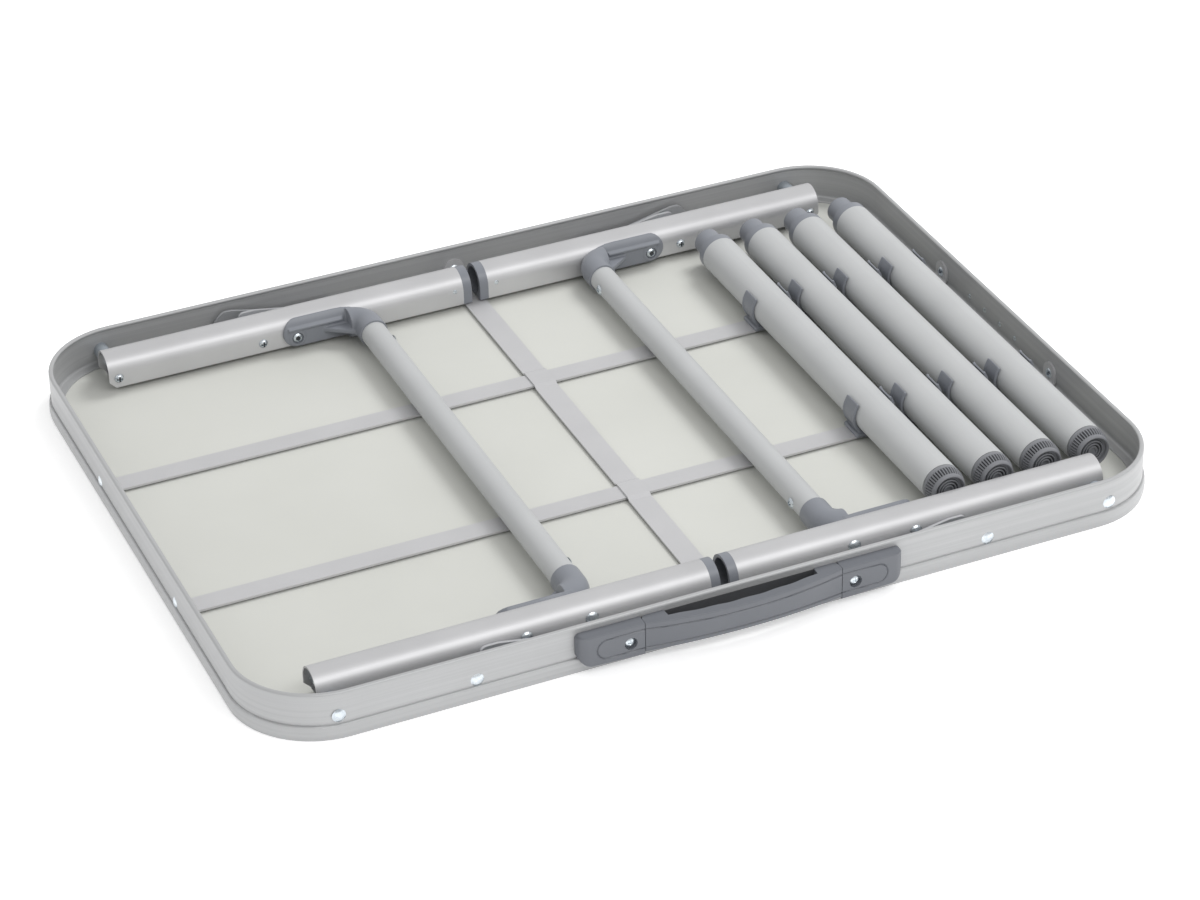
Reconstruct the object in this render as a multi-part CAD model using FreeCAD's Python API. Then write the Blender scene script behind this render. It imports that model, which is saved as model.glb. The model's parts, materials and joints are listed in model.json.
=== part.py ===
import FreeCAD, Part
import math
import os
from FreeCAD import Vector

# Folding camping table, modelled folded open side up: the table top lies face down.
# Millimetres. z = 0 is the face of the table top, +X runs along the long side, +Z points to
# the open side where the folded leg frames and the loose legs lie. The handle is at -Y.

# Table top and edge frame
LENGTH = 800.0
WIDTH = 600.0
CORNER_R = 74.0
RIM_HEIGHT = 41.5
PANEL_THICK = 7.0
LEDGE_TOP = 8.5
LEDGE_INSET = 13.0
WALL_OUTER_INSET = 2.5
WALL_INNER_INSET = 4.5
BAND_TOP = 13.0

# Support strips on the back of the panel
STRIP_Y = 97.0
STRIP_WIDTH = 19.0
STRIP_THICK = 2.0
CROSS_WIDTH = 20.0
CROSS_THICK = 1.5
STRIP_BEND_R = 4.5
CROSS_BEND_R = 4.0
CROSS_FLAT = 1.0
CROSS_RAMP = 4.0
TAB_TOP = 27.0
TAB_BOLT_Z = 17.0

# Leg frames: two rails and one cross bar each
RAIL_Y = 257.0
RAIL_HALF = 16.0
RAIL_BOTTOM = 10.8
RAIL_ARC_Z = 23.8
RAIL_WALL = 1.5
RAIL_INNER_END = 12.0
RAIL_OUTER_END = 343.0
RAIL_CHAMFER = 6.6
SOCKET_END = 4.0
SOCKET_DEPTH = 30.0
SOCKET_BORE_R = 12.4
SOCKET_BORE_Z = 24.8
BAR_X = 110.0
BAR_Z = 24.0
BAR_R = 11.5
BAR_WALL = 1.5
BAR_END_Y = 238.0
TUBE_PLUG_DEPTH = 56.0
ELBOW_END_X = 181.0
ELBOW_NEAR_X = 97.0
ELBOW_THICK = 3.2
ELBOW_ARC_ANGLE = 47.0
ELBOW_TAB_HALF = 12.4
GUSSET_END_X = 146.0
GUSSET_LOW = 20.0
GUSSET_THICK = 4.0
BEND_START_Y = 214.0
BEND_END_X = 122.0
BEND_END_Y = 252.0
ELBOW_SOCKET_R = 13.0
ELBOW_MOUTH_Y = 206.0
ELBOW_SCREW_X = 171.0
ELBOW_SCREW_Z = 20.0

# Bolts, screws and rivets: shank radii, then the radius and height of their domed heads
BOLT_R = 2.5
SCREW_R = 2.0
RIVET_R = 1.6
HEAD_R = 4.6
HEAD_HIGHS = (2.2, 1.4)
RIVET_HEAD_R = 2.4
RIVET_HIGHS = (1.0, 0.5)
RAIL_HEAD_R = 4.2
RAIL_HEAD_HIGH = 2.0
BAR_HEAD_R = 3.6
BAR_HEAD_HIGH = 1.4
BAR_HEAD_RIM = 0.8
BAR_SCREW_LENGTH = 8.0
PIVOT_BUTTON_R = 6.0
RIM_BUTTON_R = 5.6
BUTTON_HIGH = 1.6
BUTTON_SEAT = 0.4
LINK_HEAD_R = 4.5
LINK_HEAD_HIGH = 1.4
WALL_RIVETS_Y = [47.0, 20.0, -7.0, -34.0]
SOCKET_SCREW_X = 20.0
SOCKET_SCREW_Z = 26.0
SOCKET_SCREW_DEPTH = 2.5
SOCKET_SCREW_HIGH = 0.6
LONG_SCREW_START_Y = 222.0
LONG_SCREW_X = 114.5
LONG_SCREW_Z = 27.0
SADDLE_BOLT_X = 170.0
SADDLE_BOLT_Z = 26.0
SADDLE_SCREW_DEPTH = 5.0
OUTER_HEAD_RS = (5.2, 5.8)
OUTER_HEAD_HIGH = 2.7
OVERRUN = 10.0
BAR_SCREW_Y = 191.0
PROUD_FAR = 2.8
PROUD_NEAR = 1.3

# Fold pivots and folding braces
PIVOT_X = 334.0
PIVOT_Z = 20.5
PIVOT_R = 3.5
RIM_PIN_X = 222.0
RIM_PIN_Z = 18.5
RAIL_PIN_X = 202.0
RAIL_PIN_Z = 20.5
PIN_R = 3.0
PIVOT_BUSH_R = 6.5
PIN_SHOULDER_R = 5.0
PIN_FLARE = 1.5
RUNNING = 0.05
CLEAR = 0.3
RIM_LINK_Y = 288.5
RAIL_LINK_Y = 277.5
LINK_THICK = 2.5
LINK_END_R = 5.6
LINK_JOINT_R = 4.0
MIDDLE_X = 124.81
MIDDLE_Z = 15.0

# Loose legs in their clips
LEG_X = [219.0, 264.0, 309.0, 354.0]
LEG_Z = 29.3
LEG_R = 17.15
LEG_WALL = 1.5
LEG_NEAR_Y = -224.0
LEG_FAR_Y = 192.0
COLLAR_LENGTH = 8.0
SPIGOT_R = 12.1
SPIGOT_LENGTH = 22.0
FOOT_R = 17.2
FOOT_END_R = 16.0
FOOT_END_Y = -239.2
FOOT_COLLAR = 6.0
FOOT_STEM_R = 5.0
FOOT_STEM_LENGTH = 7.0
END_PLATE = 8.0
PLUG_INSERT = 24.0
SPIGOT_BEVEL = 1.5
CLIP_INNER_R = 17.5
CLIP_OUTER_R = 19.5
CLIP_LENGTH = 19.5
CLIP_BASE_LENGTH = 25.0
CLIP_ARM_ANGLE = 39.0
CLIP_BASE_LOW_X = -17.0
CLIP_BASE_HIGH_X = 16.0
CLIP_BASE_THICK = 3.2
CLIP_SHOULDER_X = 14.0
CLIP_SHOULDER_DROP = 11.0

# Carrying handle on the near long side
HANDLE_SPLIT_X = 85.5
HANDLE_END_X = 141.0
HANDLE_FACE_Y = -308.0
HANDLE_BOTTOM = 6.0
HANDLE_TOP = 36.0
GRIP_BOTTOM = 8.0
GRIP_BOW_Y = -318.0
GRIP_GAP_X = 65.0
GRIP_GAP_Y = -308.5
HANDLE_CORNER_R = 9.0
HANDLE_SCREW_X = 97.5
HANDLE_SCREW_Z = 20.0
HANDLE_BORE_R = 5.0
HANDLE_BORE_DEPTH = 4.5
HANDLE_HEAD_R = 4.2
HANDLE_HEAD_HIGH = 1.2

HALF_X = LENGTH / 2
HALF_Y = WIDTH / 2
WALL_IN_X = HALF_X - WALL_INNER_INSET
WALL_IN_Y = HALF_Y - WALL_INNER_INSET
WALL_OUT_X = HALF_X - WALL_OUTER_INSET
WALL_OUT_Y = HALF_Y - WALL_OUTER_INSET
RAIL_IN_Y = RAIL_Y - RAIL_HALF
RAIL_OUT_Y = RAIL_Y + RAIL_HALF

AXIS_X = Vector(1, 0, 0)
AXIS_Y = Vector(0, 1, 0)
AXIS_Z = Vector(0, 0, 1)
ORIGIN = Vector(0, 0, 0)


# ---- helpers ----

def rod(radius, start, end):
    """Round bar between two points."""
    a = Vector(*start)
    b = Vector(*end)
    return Part.makeCylinder(radius, (b - a).Length, a, b - a)


def dome(radius, height, base, direction):
    """Spherical cap standing on a plane."""
    base = Vector(*base)
    direction = Vector(*direction).normalize()
    ball_r = (radius ** 2 + height ** 2) / (2 * height)
    ball = Part.makeSphere(ball_r, base + direction * (height - ball_r))
    keep = Part.makeCylinder(radius * 1.2, height * 1.2, base, direction)
    return ball.common(keep)


def block(low, high):
    """Box from its low corner to its high corner."""
    size = [b - a for a, b in zip(low, high)]
    return Part.makeBox(size[0], size[1], size[2], Vector(*low))


def outline(start, steps):
    """Closed wire. A step is a point, or a pair (point on the arc, end point)."""
    edges = []
    here = Vector(*start)
    for step in steps:
        if isinstance(step[0], tuple):
            end = Vector(*step[1])
            edges.append(Part.Arc(here, Vector(*step[0]), end).toShape())
        else:
            end = Vector(*step)
            edges.append(Part.LineSegment(here, end).toShape())
        here = end
    return Part.Wire(edges)


def prism(start, steps, travel):
    """Outline extruded along a vector."""
    return Part.Face(outline(start, steps)).extrude(Vector(*travel))


def join(shapes):
    """One solid from several that touch or overlap."""
    whole = shapes[0].fuse(shapes[1:])
    return whole.removeSplitter()


def to_side(shape, x_side, y_side):
    """Move a piece modelled at +X, +Y to its own quarter by mirroring."""
    if x_side < 0:
        shape = shape.mirror(ORIGIN, AXIS_X)
    if y_side < 0:
        shape = shape.mirror(ORIGIN, AXIS_Y)
    return shape


def drill(shape, tools):
    """Cut each tool from the shape and keep it one solid."""
    return shape.cut(Part.makeCompound(tools)) if tools else shape


# ---- table top and edge frame ----

def rounded_plate(inset, low, high):
    """Rounded rectangle plate, inset from the outer outline."""
    hx = HALF_X - inset
    hy = HALF_Y - inset
    r = CORNER_R - inset
    k = r * (1 - math.sqrt(0.5))
    steps = [
        (hx - r, hy, low),
        ((hx - k, hy - k, low), (hx, hy - r, low)),
        (hx, r - hy, low),
        ((hx - k, k - hy, low), (hx - r, -hy, low)),
        (r - hx, -hy, low),
        ((k - hx, k - hy, low), (-hx, r - hy, low)),
        (-hx, hy - r, low),
        ((k - hx, hy - k, low), (r - hx, hy, low)),
    ]
    return prism((r - hx, hy, low), steps, (0, 0, high - low))


def rim_section():
    """Section of the edge frame: u is the inset from the outline, z the height."""
    def at(u, z):
        return (CORNER_R - u, 0, z)
    bead_top = RIM_HEIGHT
    steps = [
        (at(0.0, 6.2), at(0.8, 11.4)),
        (at(1.3, 12.6), at(2.4, BAND_TOP)),
        (at(3.0, 13.5), at(WALL_OUTER_INSET, 14.1)),
        at(WALL_OUTER_INSET, bead_top - 2.2),
        (at(3.1, bead_top - 0.6), at(4.2, bead_top)),
        at(5.2, bead_top),
        (at(6.3, bead_top - 0.5), at(6.8, bead_top - 1.6)),
        (at(6.3, bead_top - 2.7), at(5.4, bead_top - 3.2)),
        at(WALL_INNER_INSET, bead_top - 4.2),
        at(WALL_INNER_INSET, LEDGE_TOP + 2.5),
        (at(WALL_INNER_INSET + 0.73, LEDGE_TOP + 0.73), at(WALL_INNER_INSET + 2.5, LEDGE_TOP)),
        at(LEDGE_INSET - 0.6, LEDGE_TOP),
        at(LEDGE_INSET, LEDGE_TOP - 0.6),
        at(LEDGE_INSET, PANEL_THICK),
        at(WALL_INNER_INSET, PANEL_THICK),
        at(WALL_INNER_INSET, 0.0),
        at(0.9, 0.0),
    ]
    return Part.Face(outline(at(0.9, 0.0), steps))


def plain_edge_frame():
    """The rim extrusion bent round the panel: four corners and four straight sides."""
    section = rim_section()
    cx = HALF_X - CORNER_R
    cy = HALF_Y - CORNER_R
    centres = [Vector(cx, cy, 0), Vector(-cx, cy, 0), Vector(-cx, -cy, 0), Vector(cx, -cy, 0)]
    pieces = []
    for k in range(4):
        corner = section.revolve(ORIGIN, AXIS_Z, 90)
        corner.rotate(ORIGIN, AXIS_Z, 90 * k)
        corner.translate(centres[k])
        pieces.append(corner)
        side = section.copy()
        side.rotate(ORIGIN, AXIS_Z, 90 * (k + 1))
        side.translate(centres[k])
        pieces.append(side.extrude(centres[(k + 1) % 4] - centres[k]))
    return join(pieces)


# ---- support strips ----

def bent_end(reach, low, thick, top, width, bend_r):
    """Side view of a strip's upturned end, from x = 0 to the wall at x = reach."""
    inner = reach - thick
    k = bend_r * (1 - math.sqrt(0.5))
    j = (bend_r - thick) * (1 - math.sqrt(0.5))
    steps = [
        (reach - bend_r, 0, low),
        ((reach - k, 0, low + k), (reach, 0, low + bend_r)),
        (reach, 0, top),
        (inner, 0, top),
        (inner, 0, low + bend_r),
        ((inner - j, 0, low + thick + j), (reach - bend_r, 0, low + thick)),
        (0, 0, low + thick),
        (0, 0, low),
    ]
    body = prism((0, 0, low), steps, (0, width, 0))
    body.translate(Vector(0, -width / 2, 0))
    half = width / 2
    round_top = join([
        block((-1, -half, low - 1), (reach + 1, half, top - half)),
        rod(half, (inner - 1, 0, top - half), (reach + 1, 0, top - half)),
        block((-1, -half, low - 1), (reach - bend_r, half, top)),
    ])
    return body.common(round_top)


def support_strip(y):
    """Long strip that carries the clips, with a tab turned up at each short wall."""
    end = bent_end(WALL_IN_X, LEDGE_TOP, STRIP_THICK, TAB_TOP, STRIP_WIDTH, STRIP_BEND_R)
    strip = join([end, end.mirror(ORIGIN, AXIS_X)])
    strip.translate(Vector(0, y, 0))
    z = TAB_BOLT_Z
    ends = (WALL_IN_X, -WALL_IN_X)
    return drill(strip, [rod(BOLT_R, (x, y, z), (x - math.copysign(OVERRUN, x), y, z)) for x in ends])


def cross_strip():
    """Strip across the middle, joggled over the two long strips."""
    end = bent_end(WALL_IN_Y, LEDGE_TOP, CROSS_THICK, TAB_TOP, CROSS_WIDTH, CROSS_BEND_R)
    end.rotate(ORIGIN, AXIS_Z, 90)
    strip = join([end, end.mirror(ORIGIN, AXIS_Y)])
    half = CROSS_WIDTH / 2
    flat = STRIP_WIDTH / 2 + CROSS_FLAT
    ramp = flat + CROSS_RAMP
    low = LEDGE_TOP
    high = LEDGE_TOP + STRIP_THICK
    for side in (1, -1):
        y = side * STRIP_Y
        strip = strip.cut(block((-half - 1, y - ramp, 0), (half + 1, y + ramp, RIM_HEIGHT)))
        steps = [
            (-half, y - flat, high),
            (-half, y + flat, high),
            (-half, y + ramp, low),
            (-half, y + ramp, low + CROSS_THICK),
            (-half, y + flat, high + CROSS_THICK),
            (-half, y - flat, high + CROSS_THICK),
            (-half, y - ramp, low + CROSS_THICK),
            (-half, y - ramp, low),
        ]
        strip = strip.fuse(prism((-half, y - ramp, low), steps, (CROSS_WIDTH, 0, 0)))
    strip = strip.removeSplitter()
    z = TAB_BOLT_Z
    ends = (WALL_IN_Y, -WALL_IN_Y)
    return drill(strip, [rod(BOLT_R, (0, y, z), (0, y - math.copysign(OVERRUN, y), z)) for y in ends])


# ---- fasteners fixed in the edge frame ----

def wall_bolt(radius, head_r, highs, inner_face, outer_face):
    """Bolt along +X through a wall at y = z = 0; highs are its inner and outer dome heights."""
    shank = rod(radius, (inner_face, 0, 0), (outer_face, 0, 0))
    inner = dome(head_r, highs[0], (inner_face, 0, 0), (-1, 0, 0))
    outer = dome(head_r, highs[1], (outer_face, 0, 0), (1, 0, 0))
    return join([shank, inner, outer])


def strip_bolts(frame):
    """Six bolts that hold the strip tabs to the walls, their outer heads resting on the band."""
    long_bolt = wall_bolt(BOLT_R, HEAD_R, HEAD_HIGHS, WALL_IN_X - STRIP_THICK, WALL_OUT_X)
    cross_bolt = wall_bolt(BOLT_R, HEAD_R, HEAD_HIGHS, WALL_IN_Y - CROSS_THICK, WALL_OUT_Y)
    bolts = []
    for turn in (0, 180):
        for y in (STRIP_Y, -STRIP_Y):
            bolt = long_bolt.copy()
            bolt.rotate(ORIGIN, AXIS_Z, turn)
            bolt.translate(Vector(0, y, TAB_BOLT_Z))
            bolts.append(bolt.cut(frame))
        bolt = cross_bolt.copy()
        bolt.rotate(ORIGIN, AXIS_Z, 90 + turn)
        bolt.translate(Vector(0, 0, TAB_BOLT_Z))
        bolts.append(bolt.cut(frame))
    return bolts


def wall_rivets():
    """Four small rivets in the right-hand wall."""
    rivets = []
    for y in WALL_RIVETS_Y:
        rivet = wall_bolt(RIVET_R, RIVET_HEAD_R, RIVET_HIGHS, WALL_IN_X, WALL_OUT_X)
        rivet.translate(Vector(0, y, TAB_BOLT_Z))
        rivets.append(rivet)
    return rivets


def pivot_bolts(frame):
    """Four bolts that the leg frames turn on, one through each rail end."""
    x, z = PIVOT_X, PIVOT_Z
    seat = WALL_OUT_Y - BUTTON_SEAT
    cap = rod(PIVOT_BUTTON_R, (x, WALL_IN_Y, z), (x, seat, z))
    button = dome(PIVOT_BUTTON_R, BUTTON_HIGH, (x, seat, z), (0, 1, 0))
    outside = max(join([cap, button]).cut(frame).Solids, key=lambda s: s.BoundBox.YMax)
    bolts = []
    for x_side in (1, -1):
        for y_side, proud, gap in ((1, PROUD_FAR, CLEAR), (-1, PROUD_NEAR, CLEAR / 3)):
            head_face = RAIL_IN_Y - gap
            shank = rod(PIVOT_R, (x, head_face, z), (x, WALL_OUT_Y, z))
            head = dome(RAIL_HEAD_R, proud, (x, head_face, z), (0, -1, 0))
            bolts.append(to_side(join([shank, head, outside]), x_side, y_side))
    return bolts


def pivot_spacers(frame):
    """Plastic bushes that stand the rails and the braces off the rim."""
    x, z = PIVOT_X, PIVOT_Z
    rail_bush = rod(PIVOT_BUSH_R, (x, RAIL_OUT_Y + CLEAR, z), (x, WALL_OUT_Y - 1, z))
    rail_bush = rail_bush.cut(rod(PIVOT_R, (x, RAIL_OUT_Y, z), (x, HALF_Y, z)))
    rail_bush = min(rail_bush.cut(frame).Solids, key=lambda s: s.BoundBox.YMin)
    x, z = RIM_PIN_X, RIM_PIN_Z
    link_face = RIM_LINK_Y + LINK_THICK + CLEAR
    link_bush = rod(PIN_SHOULDER_R, (x, link_face, z), (x, WALL_IN_Y, z))
    link_bush = link_bush.cut(rod(PIN_R, (x, link_face, z), (x, HALF_Y, z)))
    spacers = []
    for x_side in (1, -1):
        for y_side in (1, -1):
            spacers.append(to_side(rail_bush, x_side, y_side))
            spacers.append(to_side(link_bush, x_side, y_side))
    return spacers


def brace_rivets(frame):
    """Four rivets that hold the braces to the rim."""
    x, z = RIM_PIN_X, RIM_PIN_Z
    inner = RIM_LINK_Y - CLEAR
    rivet = join([
        rod(PIN_R, (x, inner, z), (x, WALL_OUT_Y, z)),
        dome(LINK_HEAD_R, LINK_HEAD_HIGH, (x, inner, z), (0, -1, 0)),
        dome(RIM_BUTTON_R, BUTTON_HIGH, (x, WALL_OUT_Y, z), (0, 1, 0)),
    ])
    rivet = rivet.cut(frame)
    return [to_side(rivet, x_side, y_side) for x_side in (1, -1) for y_side in (1, -1)]


def rim_holes():
    """Holes in the rim walls for everything that passes through them."""
    start_x = WALL_IN_X - OVERRUN
    start_y = WALL_IN_Y - OVERRUN
    tools = []
    for side in (1, -1):
        for y in (STRIP_Y, -STRIP_Y):
            tools.append(rod(BOLT_R, (side * start_x, y, TAB_BOLT_Z), (side * HALF_X, y, TAB_BOLT_Z)))
        for y_side in (1, -1):
            for x, z, r in ((PIVOT_X, PIVOT_Z, PIVOT_R), (RIM_PIN_X, RIM_PIN_Z, PIN_R)):
                tools.append(rod(r, (side * x, y_side * start_y, z), (side * x, y_side * HALF_Y, z)))
        tools.append(rod(BOLT_R, (0, side * start_y, TAB_BOLT_Z), (0, side * HALF_Y, TAB_BOLT_Z)))
        x = side * HANDLE_SCREW_X
        tools.append(rod(SCREW_R, (x, -start_y, HANDLE_SCREW_Z), (x, -HALF_Y, HANDLE_SCREW_Z)))
    for y in WALL_RIVETS_Y:
        tools.append(rod(RIVET_R, (start_x, y, TAB_BOLT_Z), (HALF_X, y, TAB_BOLT_Z)))
    return tools


# ---- leg frames ----

def rail_section(grow, x):
    """Rail section at a given x: flat sides and bottom with a half-round top."""
    half = RAIL_HALF + grow
    low = RAIL_BOTTOM - grow
    r = max(1.5 + grow, 0.6)
    k = r * (1 - math.sqrt(0.5))
    a = RAIL_Y - half
    b = RAIL_Y + half
    steps = [
        (x, b - r, low),
        ((x, b - k, low + k), (x, b, low + r)),
        (x, b, RAIL_ARC_Z),
        ((x, RAIL_Y, RAIL_ARC_Z + half), (x, a, RAIL_ARC_Z)),
        (x, a, low + r),
        ((x, a + k, low + k), (x, a + r, low)),
    ]
    return Part.Face(outline((x, a + r, low), steps))


def rail_prism(grow, start, end):
    """Length of the rail section along X."""
    return rail_section(grow, start).extrude(Vector(end - start, 0, 0))


def rail_hole(radius, x, z):
    """Cylinder right through the far rail."""
    return rod(radius, (x, RAIL_IN_Y - OVERRUN, z), (x, RAIL_OUT_Y + OVERRUN, z))


def saddle_holes():
    """Holes of the screw and the two bolts that hold the elbow to the rail."""
    tab = RAIL_IN_Y - ELBOW_THICK
    x, z = ELBOW_SCREW_X, ELBOW_SCREW_Z
    screw = rod(BOLT_R, (x, tab - 1, z), (x, RAIL_IN_Y + SADDLE_SCREW_DEPTH, z))
    x, z = SADDLE_BOLT_X, SADDLE_BOLT_Z
    bolt = rod(BOLT_R, (x, tab + 1, z), (x, RAIL_OUT_Y + OVERRUN, z))
    x, z = LONG_SCREW_X, LONG_SCREW_Z
    return [screw, bolt, rod(BOLT_R, (x, LONG_SCREW_START_Y, z), (x, RAIL_OUT_Y + OVERRUN, z))]


def socket_hole():
    """Hole of the rivet that holds the leg socket in the rail."""
    x, z = SOCKET_SCREW_X, SOCKET_SCREW_Z
    return rod(SCREW_R, (x, RAIL_IN_Y - OVERRUN, z), (x, RAIL_IN_Y + SOCKET_SCREW_DEPTH, z))


def rail():
    """Far right rail: a tube with its lower outer corner cut off so that it can swing."""
    tube = rail_prism(0, RAIL_INNER_END, RAIL_OUTER_END)
    tube = tube.cut(rail_prism(-RAIL_WALL, RAIL_INNER_END - 1, RAIL_OUTER_END + 1))
    low = RAIL_BOTTOM - 1
    cut_x = RAIL_OUTER_END - RAIL_CHAMFER - 1
    start_y = RAIL_IN_Y - OVERRUN
    corner = prism(
        (cut_x, start_y, low),
        [(RAIL_OUTER_END + 1, start_y, low), (RAIL_OUTER_END + 1, start_y, low + RAIL_CHAMFER + 2),
         (cut_x, start_y, low)],
        (0, 2 * (RAIL_HALF + OVERRUN), 0))
    turning = [rail_hole(PIVOT_R + RUNNING, PIVOT_X, PIVOT_Z), rail_hole(PIN_R, RAIL_PIN_X, RAIL_PIN_Z)]
    return drill(tube.cut(corner), turning + saddle_holes() + [socket_hole()])


def leg_socket():
    """Plug in the rail's free end with the bore that takes a leg's spigot."""
    flange = rail_prism(0, SOCKET_END, RAIL_INNER_END)
    depth_end = RAIL_INNER_END + SOCKET_DEPTH
    insert = rail_prism(-RAIL_WALL, RAIL_INNER_END, depth_end)
    bore = rod(SOCKET_BORE_R, (0, RAIL_Y, SOCKET_BORE_Z), (depth_end + OVERRUN, RAIL_Y, SOCKET_BORE_Z))
    return drill(join([flange, insert]).cut(bore), [socket_hole()])


def crossbar():
    """Right cross bar: a round tube between the two elbows."""
    tube = rod(BAR_R, (BAR_X, -BAR_END_Y, BAR_Z), (BAR_X, BAR_END_Y, BAR_Z))
    inner = rod(BAR_R - BAR_WALL, (BAR_X, -BAR_END_Y - 1, BAR_Z), (BAR_X, BAR_END_Y + 1, BAR_Z))
    return drill(tube.cut(inner), bar_screw_holes())


def bar_screw_holes():
    """Holes for the two screws in the cross bar's inward side."""
    x0 = BAR_X - BAR_R - OVERRUN
    x1 = BAR_X - BAR_R + BAR_SCREW_LENGTH
    return [rod(SCREW_R, (x0, y, BAR_Z), (x1, y, BAR_Z)) for y in (BAR_SCREW_Y, -BAR_SCREW_Y)]


def bend_outline():
    """Plan of the elbow: its outer side sweeps round from the cross bar to the rail."""
    k = math.sqrt(0.5)
    start_x = BAR_X - ELBOW_SOCKET_R
    across = BEND_END_X - start_x
    along = BEND_END_Y - BEND_START_Y
    middle = (start_x + across * (1 - k), BEND_START_Y + along * k, 0)
    steps = [
        (start_x, BEND_START_Y, 0),
        (middle, (BEND_END_X, BEND_END_Y, 0)),
        (ELBOW_END_X, BEND_END_Y, 0),
        (ELBOW_END_X, 170, 0),
        (start_x, 170, 0),
    ]
    return prism((start_x, 170, 0), steps, (0, 0, RIM_HEIGHT))


def elbow_saddle():
    """Curved tab of the elbow that hugs the rail's inner side and part of its arc."""
    reach = 2 * RAIL_HALF
    angle = math.radians(ELBOW_ARC_ANGLE)
    x = ELBOW_NEAR_X
    ray = (x, RAIL_Y - reach * math.cos(angle), RAIL_ARC_Z + reach * math.sin(angle))
    low = RAIL_ARC_Z - ELBOW_TAB_HALF
    start_y = RAIL_IN_Y - OVERRUN
    region = prism(
        (x, start_y, low),
        [(x, RAIL_IN_Y + 4, low), (x, RAIL_Y, RAIL_ARC_Z), ray, (x, start_y, ray[2]), (x, start_y, low)],
        (ELBOW_END_X - x, 0, 0))
    round_x = ELBOW_END_X - ELBOW_TAB_HALF
    round_end = join([
        block((x, start_y, low), (round_x, RAIL_Y, RAIL_ARC_Z + ELBOW_TAB_HALF)),
        rod(ELBOW_TAB_HALF, (round_x, start_y, RAIL_ARC_Z), (round_x, RAIL_Y, RAIL_ARC_Z)),
    ])
    return rail_prism(ELBOW_THICK, x, ELBOW_END_X).common(region).common(round_end)


def elbow():
    """Far right corner fitting: a saddle on the rail, a socket round the bar and a plug in it."""
    face = RAIL_IN_Y - ELBOW_THICK
    socket = rod(ELBOW_SOCKET_R, (BAR_X, ELBOW_MOUTH_Y, BAR_Z), (BAR_X, RAIL_IN_Y + 6, BAR_Z))
    side_x = BAR_X + ELBOW_SOCKET_R - 1.0
    corner = (BAR_X, face + 0.5, GUSSET_LOW)
    start = (BAR_X, ELBOW_MOUTH_Y + 6, GUSSET_LOW)
    gusset = prism(
        start,
        [(side_x, start[1], GUSSET_LOW), (GUSSET_END_X, corner[1], GUSSET_LOW), corner, start],
        (0, 0, GUSSET_THICK))
    body = join([elbow_saddle(), socket, gusset])
    body = body.cut(rail_prism(0, RAIL_INNER_END, RAIL_PIN_X)).common(bend_outline())
    slot = rod(BAR_R, (BAR_X, ELBOW_MOUTH_Y - 1, BAR_Z), (BAR_X, BAR_END_Y, BAR_Z))
    plug = rod(BAR_R - BAR_WALL, (BAR_X, BAR_END_Y - TUBE_PLUG_DEPTH, BAR_Z), (BAR_X, BAR_END_Y, BAR_Z))
    body = join([body.cut(slot), plug])
    return drill(body, saddle_holes() + bar_screw_holes()[:1])


def bar_screw():
    """Pan-head screw through the cross bar's inward side into the elbow's plug."""
    y, z = BAR_SCREW_Y, BAR_Z
    side = BAR_X - BAR_R
    rim = side - BAR_HEAD_RIM
    under = side + BAR_HEAD_RIM
    pan = rod(BAR_HEAD_R, (rim, y, z), (under, y, z))
    return join([
        pan.cut(rod(BAR_R, (BAR_X, y - OVERRUN, z), (BAR_X, y + OVERRUN, z))),
        rod(SCREW_R, (rim, y, z), (side + BAR_SCREW_LENGTH, y, z)),
        dome(BAR_HEAD_R, BAR_HEAD_HIGH, (rim, y, z), (-1, 0, 0)),
    ])


def frame_screws(x_side):
    """Screws of one leg frame: elbows to rails, elbows to cross bar, sockets to rails."""
    face = RAIL_IN_Y - ELBOW_THICK
    x, z = ELBOW_SCREW_X, ELBOW_SCREW_Z
    saddle_screw = join([
        rod(BOLT_R, (x, face, z), (x, RAIL_IN_Y + SADDLE_SCREW_DEPTH, z)),
        dome(RAIL_HEAD_R, RAIL_HEAD_HIGH, (x, face, z), (0, -1, 0)),
    ])
    body = rail_prism(0, RAIL_INNER_END, RAIL_OUTER_END)
    bolts = []
    for x, start, z, r in (
            (SADDLE_BOLT_X, face + 1, SADDLE_BOLT_Z, OUTER_HEAD_RS[0]),
            (LONG_SCREW_X, LONG_SCREW_START_Y, LONG_SCREW_Z, OUTER_HEAD_RS[1])):
        head = join([
            rod(r, (x, RAIL_Y, z), (x, RAIL_OUT_Y, z)),
            dome(r, OUTER_HEAD_HIGH, (x, RAIL_OUT_Y, z), (0, 1, 0)),
        ])
        bolts.append(join([rod(BOLT_R, (x, start, z), (x, RAIL_OUT_Y, z)), head.cut(body)]))
    x, z = SOCKET_SCREW_X, SOCKET_SCREW_Z
    face = RAIL_IN_Y + 0.1
    socket_rivet = join([
        rod(SCREW_R, (x, face, z), (x, RAIL_IN_Y + SOCKET_SCREW_DEPTH, z)),
        dome(SCREW_R, SOCKET_SCREW_HIGH, (x, face, z), (0, -1, 0)),
    ])
    kinds = (saddle_screw, *bolts, bar_screw(), socket_rivet)
    return [to_side(screw, x_side, y_side) for y_side in (1, -1) for screw in kinds]


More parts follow.
